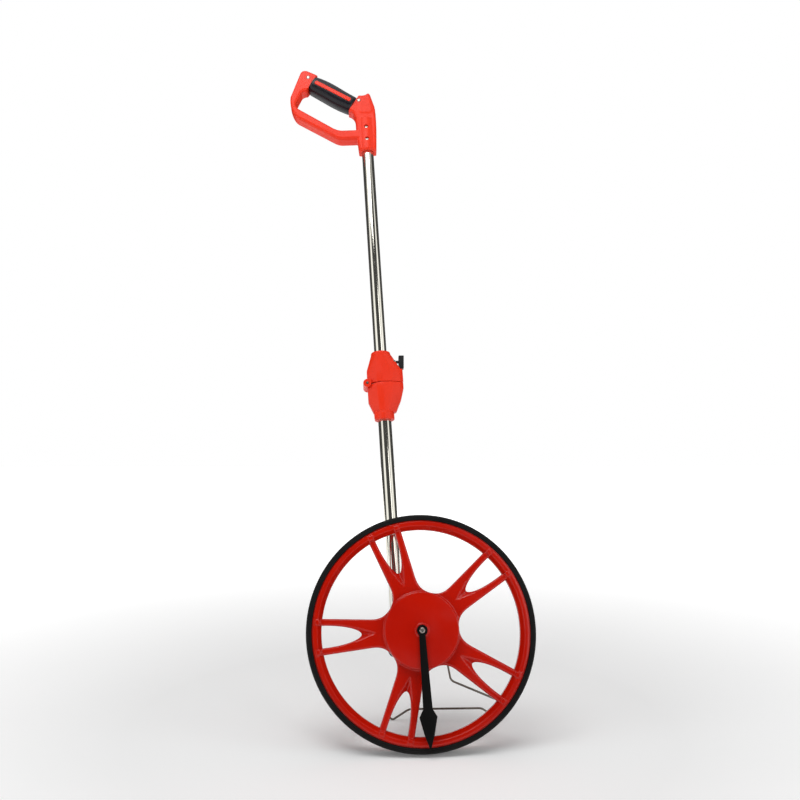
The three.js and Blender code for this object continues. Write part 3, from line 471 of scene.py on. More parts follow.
def plastic(name, colour, deep, dusty, roughness, grain, grain_depth, shine=0.25):
    """Moulded plastic: slow colour drift, flow streaks, dust, fine moulded grain and scratches."""
    look = Look(name, IOR=1.5, Specular_IOR_Level=shine)
    drift = look.ranged(look.noise(9, 3), 0.0, 1.0)
    streaks = look.ranged(look.noise(40, 4, look.stretched(1, 1, 0.25)), 0.0, 0.35)
    base = look.mixed(drift, colour, deep)
    base = look.mixed(streaks, base, deep)
    dust = look.ranged(look.noise(160, 6), 0.0, 0.07, 0.55, 0.85)
    marks = scratches(look, 60, (1, 1, 0.35))
    marked = look.mixed(look.ranged(marks, 0.0, 0.12, 0.0, 1.0), base, dusty)
    look.feed("Base Color", look.mixed(dust, marked, dusty))
    uneven = look.ranged(look.noise(28, 5), roughness - 0.06, roughness + 0.09)
    look.feed("Roughness", uneven)
    wavy = look.bump(look.noise(22, 2), 0.00035, 0.5)
    fine = look.bump(look.noise(grain, 3), grain_depth, 0.6, wavy)
    look.feed("Normal", look.bump(marks, 0.00002, 0.4, fine))
    return look.material


def rubber(name, colour, worn, roughness, grain, shine):
    """Black rubber: bloom, dust held in the grain, and a coarse bump."""
    look = Look(name, IOR=1.45, Specular_IOR_Level=shine)
    bloom = look.ranged(look.noise(25, 5), 0.0, 0.7)
    speckle = look.ranged(look.noise(420, 4), 0.0, 0.5, 0.52, 0.8)
    base = look.mixed(bloom, colour, worn)
    look.feed("Base Color", look.mixed(speckle, base, worn))
    look.feed("Roughness", look.ranged(look.noise(60, 5), roughness - 0.1, roughness + 0.1))
    coarse = look.bump(look.noise(60, 3), 0.0002, 0.4)
    look.feed("Normal", look.bump(look.noise(grain, 4), 0.00006, 0.7, coarse))
    return look.material


def steel(name, colour, dull, roughness, drawn=(30, 30, 0.6), line_depth=0.000006):
    """Bright metal with drawing lines along it, fingerprints and a little haze."""
    look = Look(name, Metallic=1.0)
    lines = look.noise(60, 5, look.stretched(*drawn))
    haze = look.ranged(look.noise(18, 5), 0.0, 0.8, 0.4, 0.75)
    tone = look.mixed(look.ranged(lines, 0.0, 0.4), colour, dull)
    look.feed("Base Color", look.mixed(haze, tone, dull))
    smears = look.ranged(look.noise(26, 6), roughness, roughness + 0.12, 0.35, 0.8)
    look.feed("Roughness", smears)
    look.feed("Normal", look.bump(lines, line_depth, 0.6))
    return look.material


def clear(name):
    """Clear plastic with faint scuffs."""
    look = Look(name, IOR=1.49, Transmission_Weight=0.95)
    haze = look.ranged(look.noise(30, 4), 0.0, 0.3)
    look.feed("Base Color", look.mixed(haze, (0.93, 0.97, 0.98), (0.8, 0.86, 0.87)))
    look.feed("Roughness", look.ranged(look.noise(90, 5), 0.02, 0.12))
    look.feed("Normal", look.bump(look.noise(300, 3), 0.00001, 0.3))
    return look.material


RED = plastic(
    "moulded_red", (0.53, 0.008, 0.0005), (0.42, 0.005, 0.0003), (0.55, 0.03, 0.01),
    0.18, 900, 0.00001, shine=0.34,
)
BRIGHT_RED = plastic(
    "satin_red", (0.82, 0.034, 0.008), (0.72, 0.024, 0.005), (0.8, 0.08, 0.03), 0.36, 1100, 0.00002,
)
BUTTON_RED = plastic(
    "button_red", (0.42, 0.012, 0.006), (0.3, 0.008, 0.004), (0.5, 0.15, 0.12), 0.3, 900, 0.00002,
)
BLACK = plastic(
    "moulded_black", (0.012, 0.012, 0.013), (0.006, 0.006, 0.007), (0.09, 0.09, 0.09), 0.42, 1300, 0.00005,
)
POINTER_BLACK = plastic(
    "pointer_black", (0.002, 0.002, 0.002), (0.001, 0.001, 0.001), (0.01, 0.01, 0.01),
    0.5, 1300, 0.00003, shine=0.12,
)
WHITE = plastic(
    "drum_white", (0.82, 0.82, 0.79), (0.76, 0.76, 0.72), (0.6, 0.58, 0.52), 0.4, 900, 0.00001,
)
NYLON = plastic(
    "nylon", (0.74, 0.71, 0.62), (0.66, 0.62, 0.52), (0.5, 0.47, 0.4), 0.45, 900, 0.00002,
)
TYRE_RUBBER = rubber("tyre_rubber", (0.003, 0.003, 0.003), (0.009, 0.008, 0.008), 0.6, 700, 0.16)
GRIP_RUBBER = rubber("grip_rubber", (0.003, 0.003, 0.005), (0.010, 0.009, 0.014), 0.32, 1500, 0.34)
TUBE_STEEL = steel("polished_tube", (0.74, 0.72, 0.65), (0.60, 0.58, 0.50), 0.06)
PLATED = steel("plated_screws", (0.58, 0.56, 0.52), (0.4, 0.38, 0.35), 0.24, (4, 4, 4))
WIRE_STEEL = steel("stand_wire", (0.22, 0.19, 0.16), (0.12, 0.10, 0.085), 0.3, (20, 20, 20))
CLEAR = clear("clear_window")

# ------------------------------------------------------------------ wheel


def spoke_outline():
    """One split spoke along +x: straight flanks, a concave root and a pointed arch between prongs."""
    reach = RIM_LIP_RADIUS - 3
    shape = Outline(40, -34)
    shape.curve((48, -22), (55, -18), (70, -19), steps=8).line(reach, -24.6).line(reach, -15)
    shape.curve((106, -14.2), (CROTCH_RADIUS, -6.2), (CROTCH_RADIUS, 0), steps=14)
    shape.curve((CROTCH_RADIUS, 6.2), (106, 14.2), (reach, 15), steps=14)
    shape.line(reach, 24.6).line(70, 19).curve((55, 18), (48, 22), (40, 34), steps=8)
    return shape.points


def spoke():
    """A spoke with the valley that runs from its crotch towards the hub, and its ends on the rim."""
    body = slab(spoke_outline(), SPOKE_FRONT, SPOKE_REAR, 2.2)
    face = SPOKE_FRONT - 0.5
    valley = hull([
        (60, face, 0), (92, face, -11), (92, face, 11), (92, face + 9.5, 0), (70, face + 2.6, 0),
    ])
    rear_valley = hull([(62, 7.5, 0), (92, 7.5, -10), (92, 7.5, 10), (92, 1.5, 0)])
    body = cut(body, valley, rear_valley)
    shapes = [body]
    proud = RIM_HALF_WIDTH + 0.7
    for side in (-1, 1):
        middle = side * PRONG_END
        ends = [(139, middle - 4.7), (146.3, middle - 4.3), (146.3, middle + 4.3), (139, middle + 4.7)]
        shapes.append(slab(fillet(ends, 2.2), -proud, proud, 1.4))
    return joined(shapes)


def wheel_mesh():
    """The whole moulding: rim, five spokes, the hub's web and its barrel."""
    web = revolved(fillet([
        (9.3, -12.4), (15, -12.4), (15, -9), (46, -9), (48, -12.2), (WEB_RADIUS, -11.6),
        (WEB_RADIUS + 0.6, 2), (48, 5), (15, 5), (15, 13), (9.3, 13),
    ], 0.8, 2), 120)
    spokes = []
    for i in range(SPOKE_COUNT):
        turn = Matrix.Rotation(math.radians(36 - i * 360 / SPOKE_COUNT), 4, "Y")
        spokes.append(moved(spoke(), turn))
    moulding = melted(joined([web, *spokes]), 0.8, 5)
    side = [
        (RIM_RADIUS, 10.6), (149.4, 10.6), (149.4, RIM_HALF_WIDTH), (RIM_LIP_RADIUS, RIM_HALF_WIDTH),
        (RIM_LIP_RADIUS - 1.6, 10.2), (RIM_BORE_RADIUS, 3.4),
    ]
    other_side = [(radius, -along) for radius, along in reversed(side)]
    return union(moulding, revolved(fillet(side + other_side, 0.7, 3), 240))


def tyre_mesh():
    """The tyre: a low crown with two fine grooves, shoulders, and a bead line on each side."""
    half = 13
    side = [
        (RIM_RADIUS + GAP, half - 0.5), (153.2, half - 0.1), (153.6, half - 0.7), (154.2, half - 0.1),
        (156.4, half - 0.2), (WHEEL_RADIUS - 0.5, half - 3), (WHEEL_RADIUS, half - 6),
        (WHEEL_RADIUS, 4.6), (WHEEL_RADIUS - 0.7, 4.2), (WHEEL_RADIUS - 0.7, 3.4), (WHEEL_RADIUS, 3.0),
    ]
    profile = side + [(radius, -along) for radius, along in reversed(side)]
    return revolved(fillet(profile, 0.8, 2), 240)


def build_wheel():
    piece("wheel_moulding", wheel_mesh(), RED, "wheel", ["spoked_wheel"], angle=50)
    piece("tyre_tread", tyre_mesh(), TYRE_RUBBER, "wheel", ["tyre"])
    face = HUB_COVER_FRONT
    wall = HUB_COVER_RADIUS - 3
    cover = revolved(fillet([
        (4.7, face - 1.4), (8.6, face - 1.4), (9.6, face), (HUB_COVER_RADIUS, face),
        (HUB_COVER_RADIUS, face + 7.5), (wall, face + 7.5), (wall, face + 3.5), (4.7, face + 3.5),
    ], 1.3, 4), 200)
    piece("hub_disc", cover, RED, "wheel", ["hub_cover"])


# ------------------------------------------------------------------ axle and pointer


def cross_screw(radius, height, shank, length, drive=0.95):
    """A pan-head screw with a cross recess: its head's top is at y = 0 and it points along +y."""
    body = revolved(fillet([
        (0.001, 0), (radius * 0.72, 0.05), (radius, height * 0.6), (radius, height), (shank, height),
        (shank, height + length), (0.001, height + length),
    ], 0.35, 3), 40)
    arm = radius * 0.58
    width = radius * 0.15
    deep = height * drive
    slot = box((-arm, -1, -width), (arm, deep * 0.6, width))
    cross = box((-width, -1, -arm), (width, deep * 0.6, arm))
    core = revolved([(0.001, -1), (width * 2.1, -1), (0.001, deep)], 24)
    return cut(body, slot, cross, core)


def facing_back(mesh):
    """A screw drawn for the front, turned to the rear."""
    return moved(mesh, Matrix.Rotation(math.pi, 4, "Z"))


def build_pointer():
    ring = [
        (7.3 * math.cos(math.radians(angle)), 7.3 * math.sin(math.radians(angle)))
        for angle in range(-58, 239, 9)
    ]
    arrow = [(-6.4, -101), (-12, -111), (-6.5, -134), (0, -152.5), (6.5, -134), (12, -111), (6.4, -101)]
    shape = [Vector(point) for point in ring + arrow]
    blade = slab(shape, POINTER_FRONT, POINTER_FRONT + 2.6, 0.45)
    blade = cut(blade, rod(4.3, -30, -10))
    piece("pointer_blade", blade, POINTER_BLACK, "frame", ["pointer"])
    screw = shifted(cross_screw(3.9, 2, 1.6, 5.5), 0, POINTER_FRONT - 2.6, 0)
    piece("pointer_bolt", screw, PLATED, "frame", ["pointer_screw"])


# ------------------------------------------------------------------ gear case and counter


def case_outline(inset=0.0):
    """The case's outline, its upper corner slanting in on the tube's side."""
    left, right, bottom, top = CASE
    corners = [
        (left + inset, bottom + inset), (right - inset, bottom + inset),
        (right - inset, top - inset), (TUBE_X + inset, top - inset),
        (left + 2.4 + inset, 15 - inset), (left + inset, 4),
    ]
    return fillet(corners, 9 - inset, 8)


def build_case():
    """The case with the tube's socket, its lid and screws, the window, and the reset button."""
    x = COUNTER[0]
    top = CASE[3]
    drum_end = DRUM_FIRST + 5 * DRUM_PITCH
    shell = slab(case_outline(), CASE_FRONT, CASE_SPLIT, 1.5)
    shell = cut(shell, slab(case_outline(2.8), CASE_FRONT + 2.8, CASE_SPLIT + 2))
    socket = [(-45, -21), (-17, -21), (-17, top - 1), (-31, top - 1), (-42.4, 14), (-45, 3)]
    shell = union(shell, slab(socket, 43, 69, 0.6))
    shell = cut(
        shell,
        rod(LOWER_TUBE_RADIUS + 0.45, -16.3, top + 9, "Z", (TUBE_X, TUBE_Y, 0)),
        rod(10.3, CASE_FRONT - 3, CASE_FRONT + 6),
        box((x - 11, DRUM_FIRST - 0.5, top - 7), (x + 9, drum_end, top + 6)),
        rod(6.3, 38, 52, "X", (0, *BUTTON)),
        rod(1.9, -52, -30, "X", (0, TUBE_Y, -6)),
    )
    piece("case_shell", shell, BLACK, "frame", ["gear_case"])

    lid = slab(case_outline(), CASE_SPLIT + GAP, CASE_REAR, 1.8)
    panel = fillet([(-40, -20), (2, -20), (2, 36.5), (-27.5, 36.5), (-40, 11)], 3, 5)
    inner = fillet([(-38.6, -18.6), (0.6, -18.6), (0.6, 35.1), (-26.7, 35.1), (-38.6, 10.7)], 2.4, 5)
    groove = cut(slab(panel, CASE_REAR - 0.6, CASE_REAR + 2, 0.2), slab(inner, CASE_REAR - 2, CASE_REAR + 3))
    boss = rod(7.4, 31, 72)
    screw_places = [(39, -27.4), (39, 35.6), (-10, 35.8), (-39, -27.4)]
    lid = union(lid, boss)
    lid = cut(
        lid, groove, rod(7.2, CASE_REAR - 5.3, CASE_REAR + 2), rod(4.3, 0, CASE_REAR + 2),
        *[rod(3.4, CASE_REAR - 2.3, CASE_REAR + 2, at=(a, 0, b)) for a, b in screw_places],
        *[rod(1.7, CASE_SPLIT - 2, CASE_REAR + 2, at=(a, 0, b)) for a, b in screw_places],
    )
    piece("case_lid", lid, BLACK, "frame", ["gear_case_cover"])
    for i, (a, b) in enumerate(screw_places):
        screw = shifted(facing_back(cross_screw(3, 1.8, 1.3, 18)), a, CASE_REAR - 0.2, b)
        piece(f"lid_screw_{i + 1}", screw, PLATED, "frame", [f"case_screw_{i + 1}"])

    pane = union(
        box((x - 13, DRUM_FIRST - 2.5, top + GAP), (x + 11, drum_end + 2, top + 1.6), 0.5),
        box((x - 10.7, DRUM_FIRST - 0.2, top - 2), (x + 8.7, drum_end - GAP, top + 1)),
    )
    piece("window_pane", pane, CLEAR, "frame", ["counter_window"])
    button = union(
        rod(6, 44, 51, "X", (0, *BUTTON), 1.0),
        rod(1.6, 33.2, 45, "X", (0, *BUTTON), 0.2),
    )
    piece("button_cap", button, BUTTON_RED, "reset_button", ["reset_button"])
    side_screw = moved(cross_screw(3.4, 2.2, 1.5, 11), Matrix.Rotation(-math.pi / 2, 4, "Z"))
    side_screw = shifted(side_screw, CASE[0] - 2.5, TUBE_Y, -6)
    piece("socket_screw", side_screw, PLATED, "frame", ["tube_screw"])


def build_reset_spring():
    """The coil behind the reset button."""
    fixed, free, turns = 38.1, 42.9, 4
    route = []
    for step in range(turns * 16 + 1):
        share = step / (turns * 16)
        angle = 2 * math.pi * turns * share
        x = fixed + (free - fixed) * share
        route.append((x, BUTTON[0] + 3.6 * math.cos(angle), BUTTON[1] + 3.6 * math.sin(angle)))
    coil = piece("reset_coil", wire(route, 0.45, 10), PLATED, "frame", ["reset_spring"])
    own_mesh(coil)


def drum_digits():
    """The ten digits round a drum, as thin raised figures, reading from the slow drum to the fast."""
    figures = []
    for digit in range(10):
        text = bpy.data.curves.new("digit", "FONT")
        text.body = str(digit)
        text.size = 7.2 * MM
        text.extrude = 0.08 * MM
        text.align_x = "CENTER"
        text.align_y = "CENTER"
        mesh = edited(finished(link(bpy.data.objects.new("digit", text))), weld)
        facing = Matrix(((0, 1, 0, 0), (-1, 0, 0, 0), (0, 0, 1, (DRUM_RADIUS + 0.1) * MM), (0, 0, 0, 1)))
        turn = Matrix.Rotation(math.radians(36 * digit), 4, "Y")
        figures.append(moved(mesh, turn @ facing))
    return joined(figures)


def build_counter():
    x, z = COUNTER
    for order in range(5):
        front = DRUM_FIRST + order * DRUM_PITCH
        body = f"drum_{order + 1}"
        drum = revolved(fillet([
            (2.2, front), (DRUM_RADIUS, front), (DRUM_RADIUS, front + DRUM_WIDTH), (2.2, front + DRUM_WIDTH),
        ], 0.4, 2), 80, "Y", (x, 0, z))
        piece(f"number_drum_{order + 1}", drum, WHITE, body, [f"digit_drum_{order + 1}"])
        digits = shifted(drum_digits(), x, front + DRUM_WIDTH / 2, z)
        piece(f"drum_figures_{order + 1}", digits, POINTER_BLACK, body, [], angle=20)


# ------------------------------------------------------------------ kickstand


def bent(corners, steps=8):
    """A route through corners, each (x, y, z, bend), with its corners rounded."""
    route = [Vector(corners[0][:3])]
    for before, here, after in zip(corners, corners[1:], corners[2:]):
        corner = Vector(here[:3])
        start = corner + (Vector(before[:3]) - corner).normalized() * here[3]
        end = corner + (Vector(after[:3]) - corner).normalized() * here[3]
        for step in range(steps + 1):
            t = step / steps
            route.append(start.lerp(corner, t).lerp(corner.lerp(end, t), t))
    route.append(Vector(corners[-1][:3]))
    return route


def build_stand():
    """The bent wire that holds the wheel up, and the saddle that it turns in."""
    pivot_along, pivot_up = STAND_PIVOT
    lean = math.asin(-ALONG.z)
    foot_up = (WIRE_RADIUS - HUB.z / MM + STAND_FOOT_ALONG * math.sin(lean)) / math.cos(lean)
    drop = pivot_up - foot_up
    slope = (STAND_FOOT_ALONG - pivot_along) / drop
    bar = drop - 14.5
    flat = [
        (8, 0, 0), (37, 0, 4), (50, 61, 6), (131, drop - 22, 5), (121, drop + 1.05, 3),
        (97, bar, 5), (-12, bar, 5), (-36.5, drop + 0.8, 3), (-42, drop - 3, 0),
    ]
    corners = [(x, pivot_along + down * slope, pivot_up - down, bend) for x, down, bend in flat]
    stand = wire(bent(corners), WIRE_RADIUS)
    piece("stand_wire_bent", stand, WIRE_STEEL, "kickstand", ["kickstand_wire"], STAND_FRAME)

    base = box((5, CASE_REAR + GAP, pivot_up - 5), (34, CASE_REAR + 2.8, pivot_up + 13), 0.8)
    saddle = box((11, CASE_REAR + GAP, pivot_up - 4.5), (33, pivot_along + 4.5, pivot_up + 4.5), 2.2, 4)
    bracket = cut(union(base, saddle), rod(1.75, -5, 45, "X", (0, pivot_along, pivot_up)))
    piece("stand_saddle", bracket, BLACK, "frame", ["stand_bracket"], STAND_FRAME)
    for i, x in enumerate((10, 29)):
        screw = facing_back(cross_screw(2.6, 1.8, 1.3, 1.6))
        screw = shifted(screw, x, CASE_REAR + 4.8, pivot_up + 8.6)
        nodes = [f"bracket_screw_{i + 1}"]
        piece(f"saddle_screw_{i + 1}", screw, PLATED, "frame", nodes, STAND_FRAME)


# ------------------------------------------------------------------ tubes and folding joint


def build_tubes():
    """The two polished tubes, open at both ends."""
    for name, radius, low, high, body in (
        ("lower_tube", LOWER_TUBE_RADIUS, -16, 352, "frame"),
        ("upper_tube", UPPER_TUBE_RADIUS, 398, 850, "upper"),
    ):
        wall = fillet([(radius - 0.7, low), (radius, low), (radius, high), (radius - 0.7, high)], 0.2, 2)
        mesh = revolved(wall, 96, "Z", (TUBE_X, TUBE_Y, 0))
        piece(name + "_steel", mesh, TUBE_STEEL, body, [name])


def facets(z, outline):
    """One height of the joint: (x, half depth) pairs, front and rear alike."""
    return [(x, TUBE_Y + side * depth, z) for x, depth in outline for side in (-1, 1)]


# The joint's widest outline, as (x, half depth), and where the outer knuckles start and end.
WIDE = [(-60.2, 6.5), (-39, 17.4), (-29.5, 18), (-15, 16.2), (-3, 11.5), (2.6, 6.5)]
KNUCKLES = [(-16.5, -8.3), (8.3, 16.5)]


def beyond_pin(low, high):
    """The space past the pin, left to the knuckles so that the halves can lie side by side."""
    return box((PIN[0] - 20, TUBE_Y - 30, low), (PIN[0] + 0.2, TUBE_Y + 30, high))


def knuckle(radius, start, end):
    return rod(radius, TUBE_Y + start, TUBE_Y + end, "Y", (PIN[0], 0, PIN[1]), 0.3)


def lower_housing():
    """The lower half of the folding joint: facets, collar with its lip, and the middle knuckle."""
    top = FOLD_PLANE - GAP
    outside = hull(
        facets(top, WIDE) + facets(366, WIDE)
        + facets(347, [(-54, 6), (-38, 16), (-29.5, 16.6), (-17, 15), (-7.5, 10), (-2.7, 6)])
        + facets(328.6, [(-46.6, 5), (-37, 13.6), (-29.5, 14.4), (-21, 12.5), (-13.5, 8.5), (-11, 5)])
    )
    outside = bevelled(outside, 1.1, 3, 8)
    collar = revolved(fillet([
        (0.001, 316.5), (COLLAR_RADIUS, 316.5), (COLLAR_RADIUS, 327), (14.2, 334), (0.001, 334),
    ], 2.0, 4), 72, "Z", (TUBE_X, TUBE_Y, 0))
    lip = revolved(fillet([
        (0.001, 317.5), (4.6, 317.5), (4.6, 329), (0.001, 331),
    ], 1.8, 4), 40, "Z", (TUBE_X - 11.4, TUBE_Y - 8, 0))
    parting_wedge = (
        facets(top + 3, [(-49, 30), (-29, 30)]) + facets(top, [(-29, 30)]) + facets(top - 2.2, [(-49, 30)])
    )
    body = cut(
        outside,
        knuckle(KNUCKLE_RADIUS + 0.5, -20, -8), knuckle(KNUCKLE_RADIUS + 0.5, 8, 20),
        hull(parting_wedge),
        beyond_pin(320, top + 1),
        box((-13, 51.5, 363), (-2.4, 60.5, top + 2)),
    )
    body = union(body, collar, lip, knuckle(KNUCKLE_RADIUS, -8, 8))
    return cut(
        body,
        knuckle(2.2, -30, 30),
        rod(LOWER_TUBE_RADIUS + 0.3, 300, 360, "Z", (TUBE_X, TUBE_Y, 0)),
        rod(3.3, 69.7, 90, "Y", (TUBE_X, 0, 334)),
    )


def upper_housing():
    """The upper half: facets, collar, the ledge under the latch's knob, and the outer knuckles."""
    bottom = FOLD_PLANE + GAP
    outside = hull(
        facets(bottom, [(x + 0.2, depth) for x, depth in WIDE])
        + facets(394, [(-54.5, 6.5), (-38.4, 16.6), (-29.5, 17.3), (-17.5, 15.6), (-5, 11), (2.1, 6.5)])
        + facets(423, [(-45.2, 5), (-36.5, 13.6), (-29.8, 14.6), (-26, 14.2), (-19.5, 11), (-14.4, 5)])
    )
    outside = bevelled(outside, 1.1, 3, 8)
    collar = revolved(fillet([
        (0.001, 404), (14, 404), (COLLAR_RADIUS - 0.4, 414), (COLLAR_RADIUS, 427.5), (0.001, 427.5),
    ], 2.6, 5), 72, "Z", (TUBE_X, TUBE_Y, 0))
    ledge = box((-8, 49.5, bottom + 0.4), (2.9, 62.5, 397.8), 1.0, 3)
    body = union(outside, collar, ledge)
    body = cut(
        body,
        knuckle(KNUCKLE_RADIUS + 0.5, -8.1, 8.1),
        beyond_pin(bottom - 1, 430),
        box((-15.5, 51.8, 404), (12, 60.2, 418)),
        box((-14, 51.8, bottom - 2), (-1.2, 60.2, 411)),
        box((-4, 49.8, 397.8), (12, 62.2, 423)),
    )
    for start, end in KNUCKLES:
        web = box((PIN[0] - 2, TUBE_Y + start, PIN[1]), (PIN[0] + KNUCKLE_RADIUS, TUBE_Y + end, bottom + 5))
        body = union(body, knuckle(KNUCKLE_RADIUS, start, end), web)
    return cut(
        body,
        knuckle(2.2, -30, 30),
        rod(1.5, 40, 72, "Y", (LATCH[0], 0, LATCH[1]), 0.1, 24),
        rod(UPPER_TUBE_RADIUS + 0.3, 385, 440, "Z", (TUBE_X, TUBE_Y, 0)),
        rod(3.3, 69.7, 90, "Y", (TUBE_X, 0, 414)),
    )


def latch_mesh():
    """The lever: a ribbed knob, a stem through the wall, and the arm down to the lower half."""
    knob = slab(fillet([(-3, 399.8), (5.2, 399.2), (6.6, 420.2), (-1.8, 420.6)], 1.2), 50.5, 61.5, 0.9)
    ribs = [
        box((4.6 + i * 0.28, 48, 402 + i * 3.6), (9, 64, 403.1 + i * 3.6)) for i in range(5)
    ]
    knob = cut(knob, *ribs)
    stem = box((LATCH[0], 53, LATCH[1] - 1.6), (-0.5, 59, LATCH[1] + 1.6), 0.3)
    arm = slab([(-11.5, 411), (-7.2, 409), (-3.4, 395), (-3.2, 368), (-6.4, 368), (-7.4, 394)], 53, 59, 0.3)
    eye = rod(3.2, 53, 59, "Y", (LATCH[0], 0, LATCH[1]))
    return cut(union(knob, stem, arm, eye), rod(1.5, 40, 72, "Y", (LATCH[0], 0, LATCH[1]), 0.1, 24))


def build_joint():
    for name, mesh, body, node in (
        ("joint_lower", lower_housing(), "frame", "lower_joint_housing"),
        ("joint_upper", upper_housing(), "upper", "upper_joint_housing"),
    ):
        piece(name, mesh, BRIGHT_RED, body, [node], angle=24)
    pin = revolved(fillet([
        (0.001, TUBE_Y - 16.9), (2, TUBE_Y - 16.9), (2, TUBE_Y + 16.8), (3.4, TUBE_Y + 16.8),
        (3, TUBE_Y + 18.1), (0.001, TUBE_Y + 18.1),
    ], 0.3, 2), 40, "Y", (PIN[0], 0, PIN[1]))
    piece("fold_pin", pin, WIRE_STEEL, "frame", ["hinge_pin"])
    piece("latch_knob", latch_mesh(), BLACK, "latch", ["latch_lever"])
    for number, (z, body) in enumerate(((334, "frame"), (414, "upper"))):
        screw = shifted(facing_back(cross_screw(3, 2, 1.3, 6)), TUBE_X, TUBE_Y + 16, z)
        piece(f"fold_screw_{number + 1}", screw, PLATED, body, [f"joint_screw_{number + 1}"])


# ------------------------------------------------------------------ handle


def handle_outline():
    shape = Outline(-15, 789)
    shape.line(-44.5, 789).line(-46, 811).line(-72, 811)
    shape.curve((-79, 811.5), (-86, 816), steps=6).line(-146, 855.5)
    shape.curve((-155, 862), (-160, 885), (-157.5, 899), steps=12).line(-139, 946)
    shape.curve((-135.5, 953), (-127, 950.5), steps=6).line(-113, 943).line(-43.5, 899)
    shape.curve((-31, 895), (-25, 901), steps=6).curve((-20.5, 903.5), (-18.5, 893), steps=5)
    shape.line(-13, 872.5).curve((-11.5, 850), (-13.2, 820), steps=8)
    return shape.points


def finger_hole():
    shape = Outline(-47.2, 829.3)
    shape.line(-47.5, 852).curve((-48.5, 863), (-58, 867), steps=8).line(-98.7, 889.7).line(-118, 906.5)
    shape.curve((-125, 912), (-134, 911), (-138, 906), steps=8).line(-148, 886)
    shape.curve((-150, 878.5), (-142, 873), steps=6).line(-88, 835.5)
    shape.curve((-80, 830), (-72, 829.3), steps=6)
    return shape.points


def along_grip(mesh, offset=0.0):
    """Stands a mesh drawn along +x from the origin on the grip's line."""
    place = Matrix.Translation((GRIP_START.x * MM, (56 + offset) * MM, GRIP_START.y * MM))
    return moved(mesh, place @ Matrix.Rotation(-GRIP_ANGLE, 4, "Y"))


# The handle's four screws: one at each end of the grip and two over the tube.
HANDLE_SCREWS = [(-125.6, 935.7), (-40.1, 886.5), (-30, 832.5), (-30, 809)]


def handle_body():
    """Both halves of the handle in one, with the space for the grip and the ribs by the thumb."""
    body = slab(handle_outline(), HANDLE_FRONT, HANDLE_REAR, 4.2, 3, finger_hole())
    socket = rod(COLLAR_RADIUS - 0.3, 789, 852, "Z", (TUBE_X, TUBE_Y, 0), 1.0, 64)
    swelling = fillet([(-44, 860), (-16, 858), (-19, 889), (-40, 893)], 9, 5)
    cheek = slab(swelling, HANDLE_FRONT - 0.7, HANDLE_REAR + 0.7, 3)
    body = joined([body, socket, cheek])
    body = melted(body, 0.8, 7)
    ribs = [
        rod(2.0, 30, 82, "Y", (-11.2 - abs(i - 1.5) * 0.7, 0, 838 + i * 8.5), 0.2, 24) for i in range(6)
    ]
    grip_space = along_grip(box((-GAP, -30, -24), (GRIP_LENGTH + GAP, 30, 24)))
    body = cut(body, *ribs, grip_space)
    core = along_grip(box((-6, -10, -11), (GRIP_LENGTH + 6, 10, 11), 2))
    body = union(body, core)
    holes = [rod(3.4, 30, HANDLE_FRONT + 1.4, "Y", (x, 0, z), 0.2, 32) for x, z in HANDLE_SCREWS]
    bore = rod(UPPER_TUBE_RADIUS + 0.3, 780, 850.5, "Z", (TUBE_X, TUBE_Y, 0), 0.2, 64)
    return cut(body, bore, *holes)


def grip_mesh():
    """The rubber sleeve: an oval section that swells towards the palm, with a slot on each face."""
    rings = 44
    segments = 56
    bm = bmesh.new()
    loops = []
    for i in range(rings + 1):
        share = i / rings
        lip = 1 - math.exp(-min(share, 1 - share) * 60)
        swell = math.sin(math.pi * share ** 0.85)
        height = 13.6 + 1.2 * lip + 1.9 * swell
        depth = 14.2 + 1.1 * lip + 1.1 * swell
        loop = []
        for k in range(segments):
            angle = 2 * math.pi * k / segments
            c, s = math.cos(angle), math.sin(angle)
            power = 2 / 2.5
            across = math.copysign(abs(c) ** power, c) * depth
            up = math.copysign(abs(s) ** power, s) * height
            up += 0.7 * math.sin(2 * math.pi * share)
            loop.append(bm.verts.new((share * GRIP_LENGTH * MM, across * MM, up * MM)))
        loops.append(loop)
    for first, second in zip(loops, loops[1:]):
        for k in range(segments):
            j = (k + 1) % segments
            bm.faces.new((first[k], first[j], second[j], second[k]))
    bm.faces.new(loops[0][::-1])
    bm.faces.new(loops[-1])
    sleeve = from_bmesh(bm)
    core = box((-5, -10.3, -11.3), (GRIP_LENGTH + 5, 10.3, 11.3), 2)
    tools = [core]
    for side in (-1, 1):
        tools.append(shifted(inlay_mesh(7.8, 71.8, 8), 0, side * 17.5, 0))
        for lane in (-1, 1):
            curve = []
            for step in range(13):
                share = step / 12
                depth = 15.6 - 0.2 * abs(2 * share - 1)
                curve.append((12 + 58 * share, side * depth, lane * (9.2 + math.sin(math.pi * share))))
            tools.append(wire(curve, 0.8, 10))
    return along_grip(cut(sleeve, *tools))


def inlay_mesh(height, length, depth):
    """A bar with round ends, drawn along the grip."""
    start = (GRIP_LENGTH - length) / 2
    half = height / 2
    corners = [(start, -half), (start + length, -half), (start + length, half), (start, half)]
    return slab(fillet(corners, half * 0.98, 8), -depth / 2, depth / 2, 0.6)


